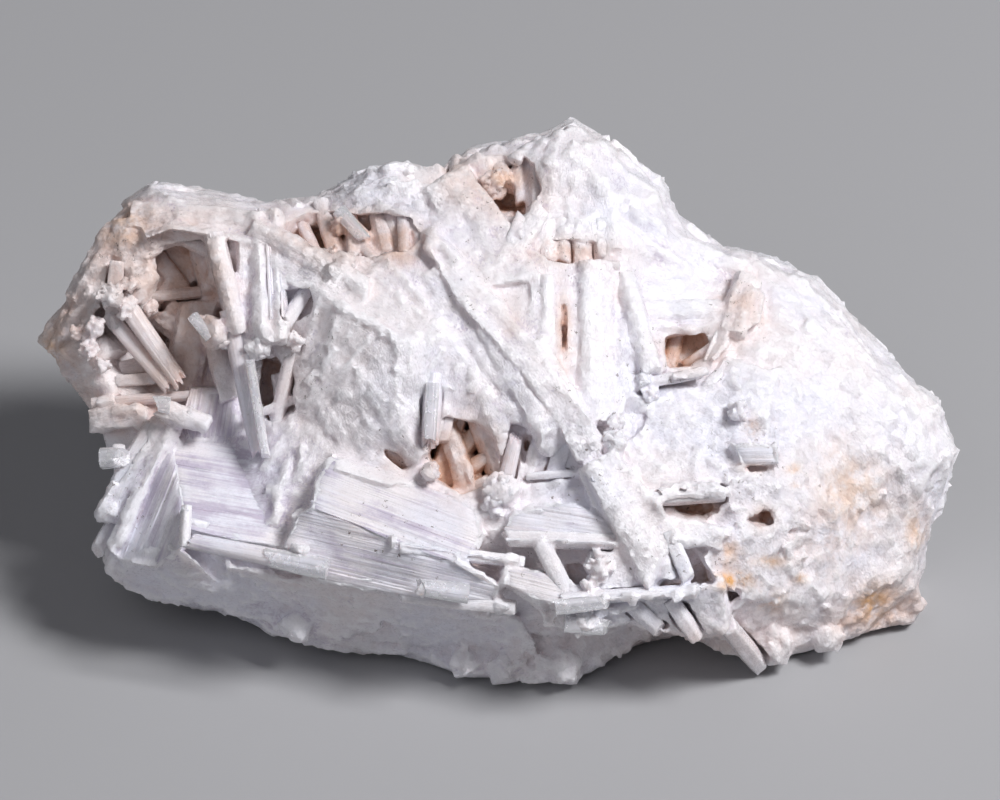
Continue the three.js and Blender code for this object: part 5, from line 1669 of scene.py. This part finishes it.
class CLUSTER_OT_druse(bpy.types.Operator):
    """Grows the small crystals of the hollows and the crusts"""

    bl_idname = "cluster.druse"
    bl_label = "Druse"

    def execute(self, context):
        heap = Heap()
        grown_druse(heap)
        place_piece(heap.mesh("druse"), crystal_finish(
            "druse_crystal", roughness=(0.15, 0.45), subsurface=0.4, streaks=0.4, sugar=0.3,
            clarity=-0.3, reach=0.002))
        return {"FINISHED"}


class CLUSTER_OT_clear(bpy.types.Operator):
    """Lays the clear crystals along the ledges"""

    bl_idname = "cluster.clear"
    bl_label = "Clear crystals"

    def execute(self, context):
        heap = Heap()
        laid_clear(heap)
        place_piece(heap.mesh("clear_crystals"), clear_finish("clear_crystal"), CLEAR_ANGLE)
        return {"FINISHED"}


# ---------------------------------------------------------------- stage

VIEW_WIDTH = 109.89  # mm, across the picture at the middle of the face
VIEW_DISTANCE = 1400.0
SENSOR = 36.0
FLOOR_SIDE = 6.0
AIM = (0, 0, 0.02)
KEY_PLACE, KEY_SIDE, KEY_POWER = (0.52, -0.22, 0.82), 0.3, 9.8
FILL_PLACE, FILL_SIDE, FILL_POWER = (-0.5, -0.72, 0.86), 0.8, 1.8
SKY_STRENGTH = 0.1
PAPER = (0.4, 0.4, 0.41, 1)
NEARLY_WHITE = (0.99, 0.985, 1.0)
COOL_WHITE = (0.93, 0.94, 1.0)


def add_light(name, place, side, power, colour):
    lamp = bpy.data.lights.new(name, "AREA")
    lamp.shape = "SQUARE"
    lamp.size = side
    lamp.energy = power
    lamp.color = colour
    holder = bpy.data.objects.new(name, lamp)
    holder.location = place
    holder.rotation_euler = (Vector(AIM) - Vector(place)).to_track_quat("-Z", "Y").to_euler()
    bpy.context.scene.collection.objects.link(holder)


class CLUSTER_OT_stage(bpy.types.Operator):
    """Sets the floor, the lights and the camera"""

    bl_idname = "cluster.stage"
    bl_label = "Stage"

    def execute(self, context):
        half = FLOOR_SIDE / 2
        mesh = bpy.data.meshes.new("floor")
        mesh.from_pydata([(-half, -half, 0), (half, -half, 0), (half, half, 0), (-half, half, 0)],
                         [], [(0, 1, 2, 3)])
        floor = bpy.data.objects.new("floor", mesh)
        paper = Finish("pale_paper")
        paper.put(PAPER, paper.shader.inputs["Base Color"])
        paper.shader.inputs["Roughness"].default_value = 0.9
        mesh.materials.append(paper.material)
        context.scene.collection.objects.link(floor)
        world = bpy.data.worlds.new("studio")
        world.use_nodes = True
        background = world.node_tree.nodes["Background"]
        background.inputs["Color"].default_value = opaque(COOL_WHITE)
        background.inputs["Strength"].default_value = SKY_STRENGTH
        context.scene.world = world
        context.scene.view_settings.view_transform = "Standard"
        add_light("key", KEY_PLACE, KEY_SIDE, KEY_POWER, NEARLY_WHITE)
        add_light("fill", FILL_PLACE, FILL_SIDE, FILL_POWER, COOL_WHITE)
        camera = bpy.data.cameras.new("camera")
        camera.sensor_width = SENSOR
        camera.lens = SENSOR * VIEW_DISTANCE / VIEW_WIDTH
        holder = bpy.data.objects.new("camera", camera)
        out = Vector(FACE_W)
        holder.location = (Vector(FACE_ORIGIN) + out * VIEW_DISTANCE) * MM
        holder.rotation_euler = out.to_track_quat("Z", "Y").to_euler()
        context.scene.collection.objects.link(holder)
        context.scene.camera = holder
        return {"FINISHED"}


class CLUSTER_PT_panel(bpy.types.Panel):
    """Lists the cluster's settings and its pieces"""

    bl_label = "Crystal cluster"
    bl_idname = "CLUSTER_PT_panel"
    bl_space_type = "VIEW_3D"
    bl_region_type = "UI"
    bl_category = "Crystal cluster"

    def draw(self, context):
        for group in (context.scene.cluster_sizes, context.scene.cluster_colours):
            for name in group.bl_rna.properties.keys():
                if name not in ("rna_type", "name"):
                    self.layout.prop(group, name)
        for operator in OPERATORS:
            self.layout.operator(operator.bl_idname)


OPERATORS = (
    CLUSTER_OT_ground,
    CLUSTER_OT_columns,
    CLUSTER_OT_crystals,
    CLUSTER_OT_slabs,
    CLUSTER_OT_druse,
    CLUSTER_OT_clear,
    CLUSTER_OT_stage,
)


def register():
    for made in (ClusterSizes, ClusterColours, *OPERATORS, CLUSTER_PT_panel):
        bpy.utils.register_class(made)
    bpy.types.Scene.cluster_sizes = bpy.props.PointerProperty(type=ClusterSizes)
    bpy.types.Scene.cluster_colours = bpy.props.PointerProperty(type=ClusterColours)


def unregister():
    del bpy.types.Scene.cluster_sizes
    del bpy.types.Scene.cluster_colours
    for made in (CLUSTER_PT_panel, *reversed(OPERATORS), ClusterColours, ClusterSizes):
        bpy.utils.unregister_class(made)


def main():
    register()
    for operator in OPERATORS:
        group, name = operator.bl_idname.split(".")
        getattr(getattr(bpy.ops, group), name)()


if __name__ == "__main__":
    main()
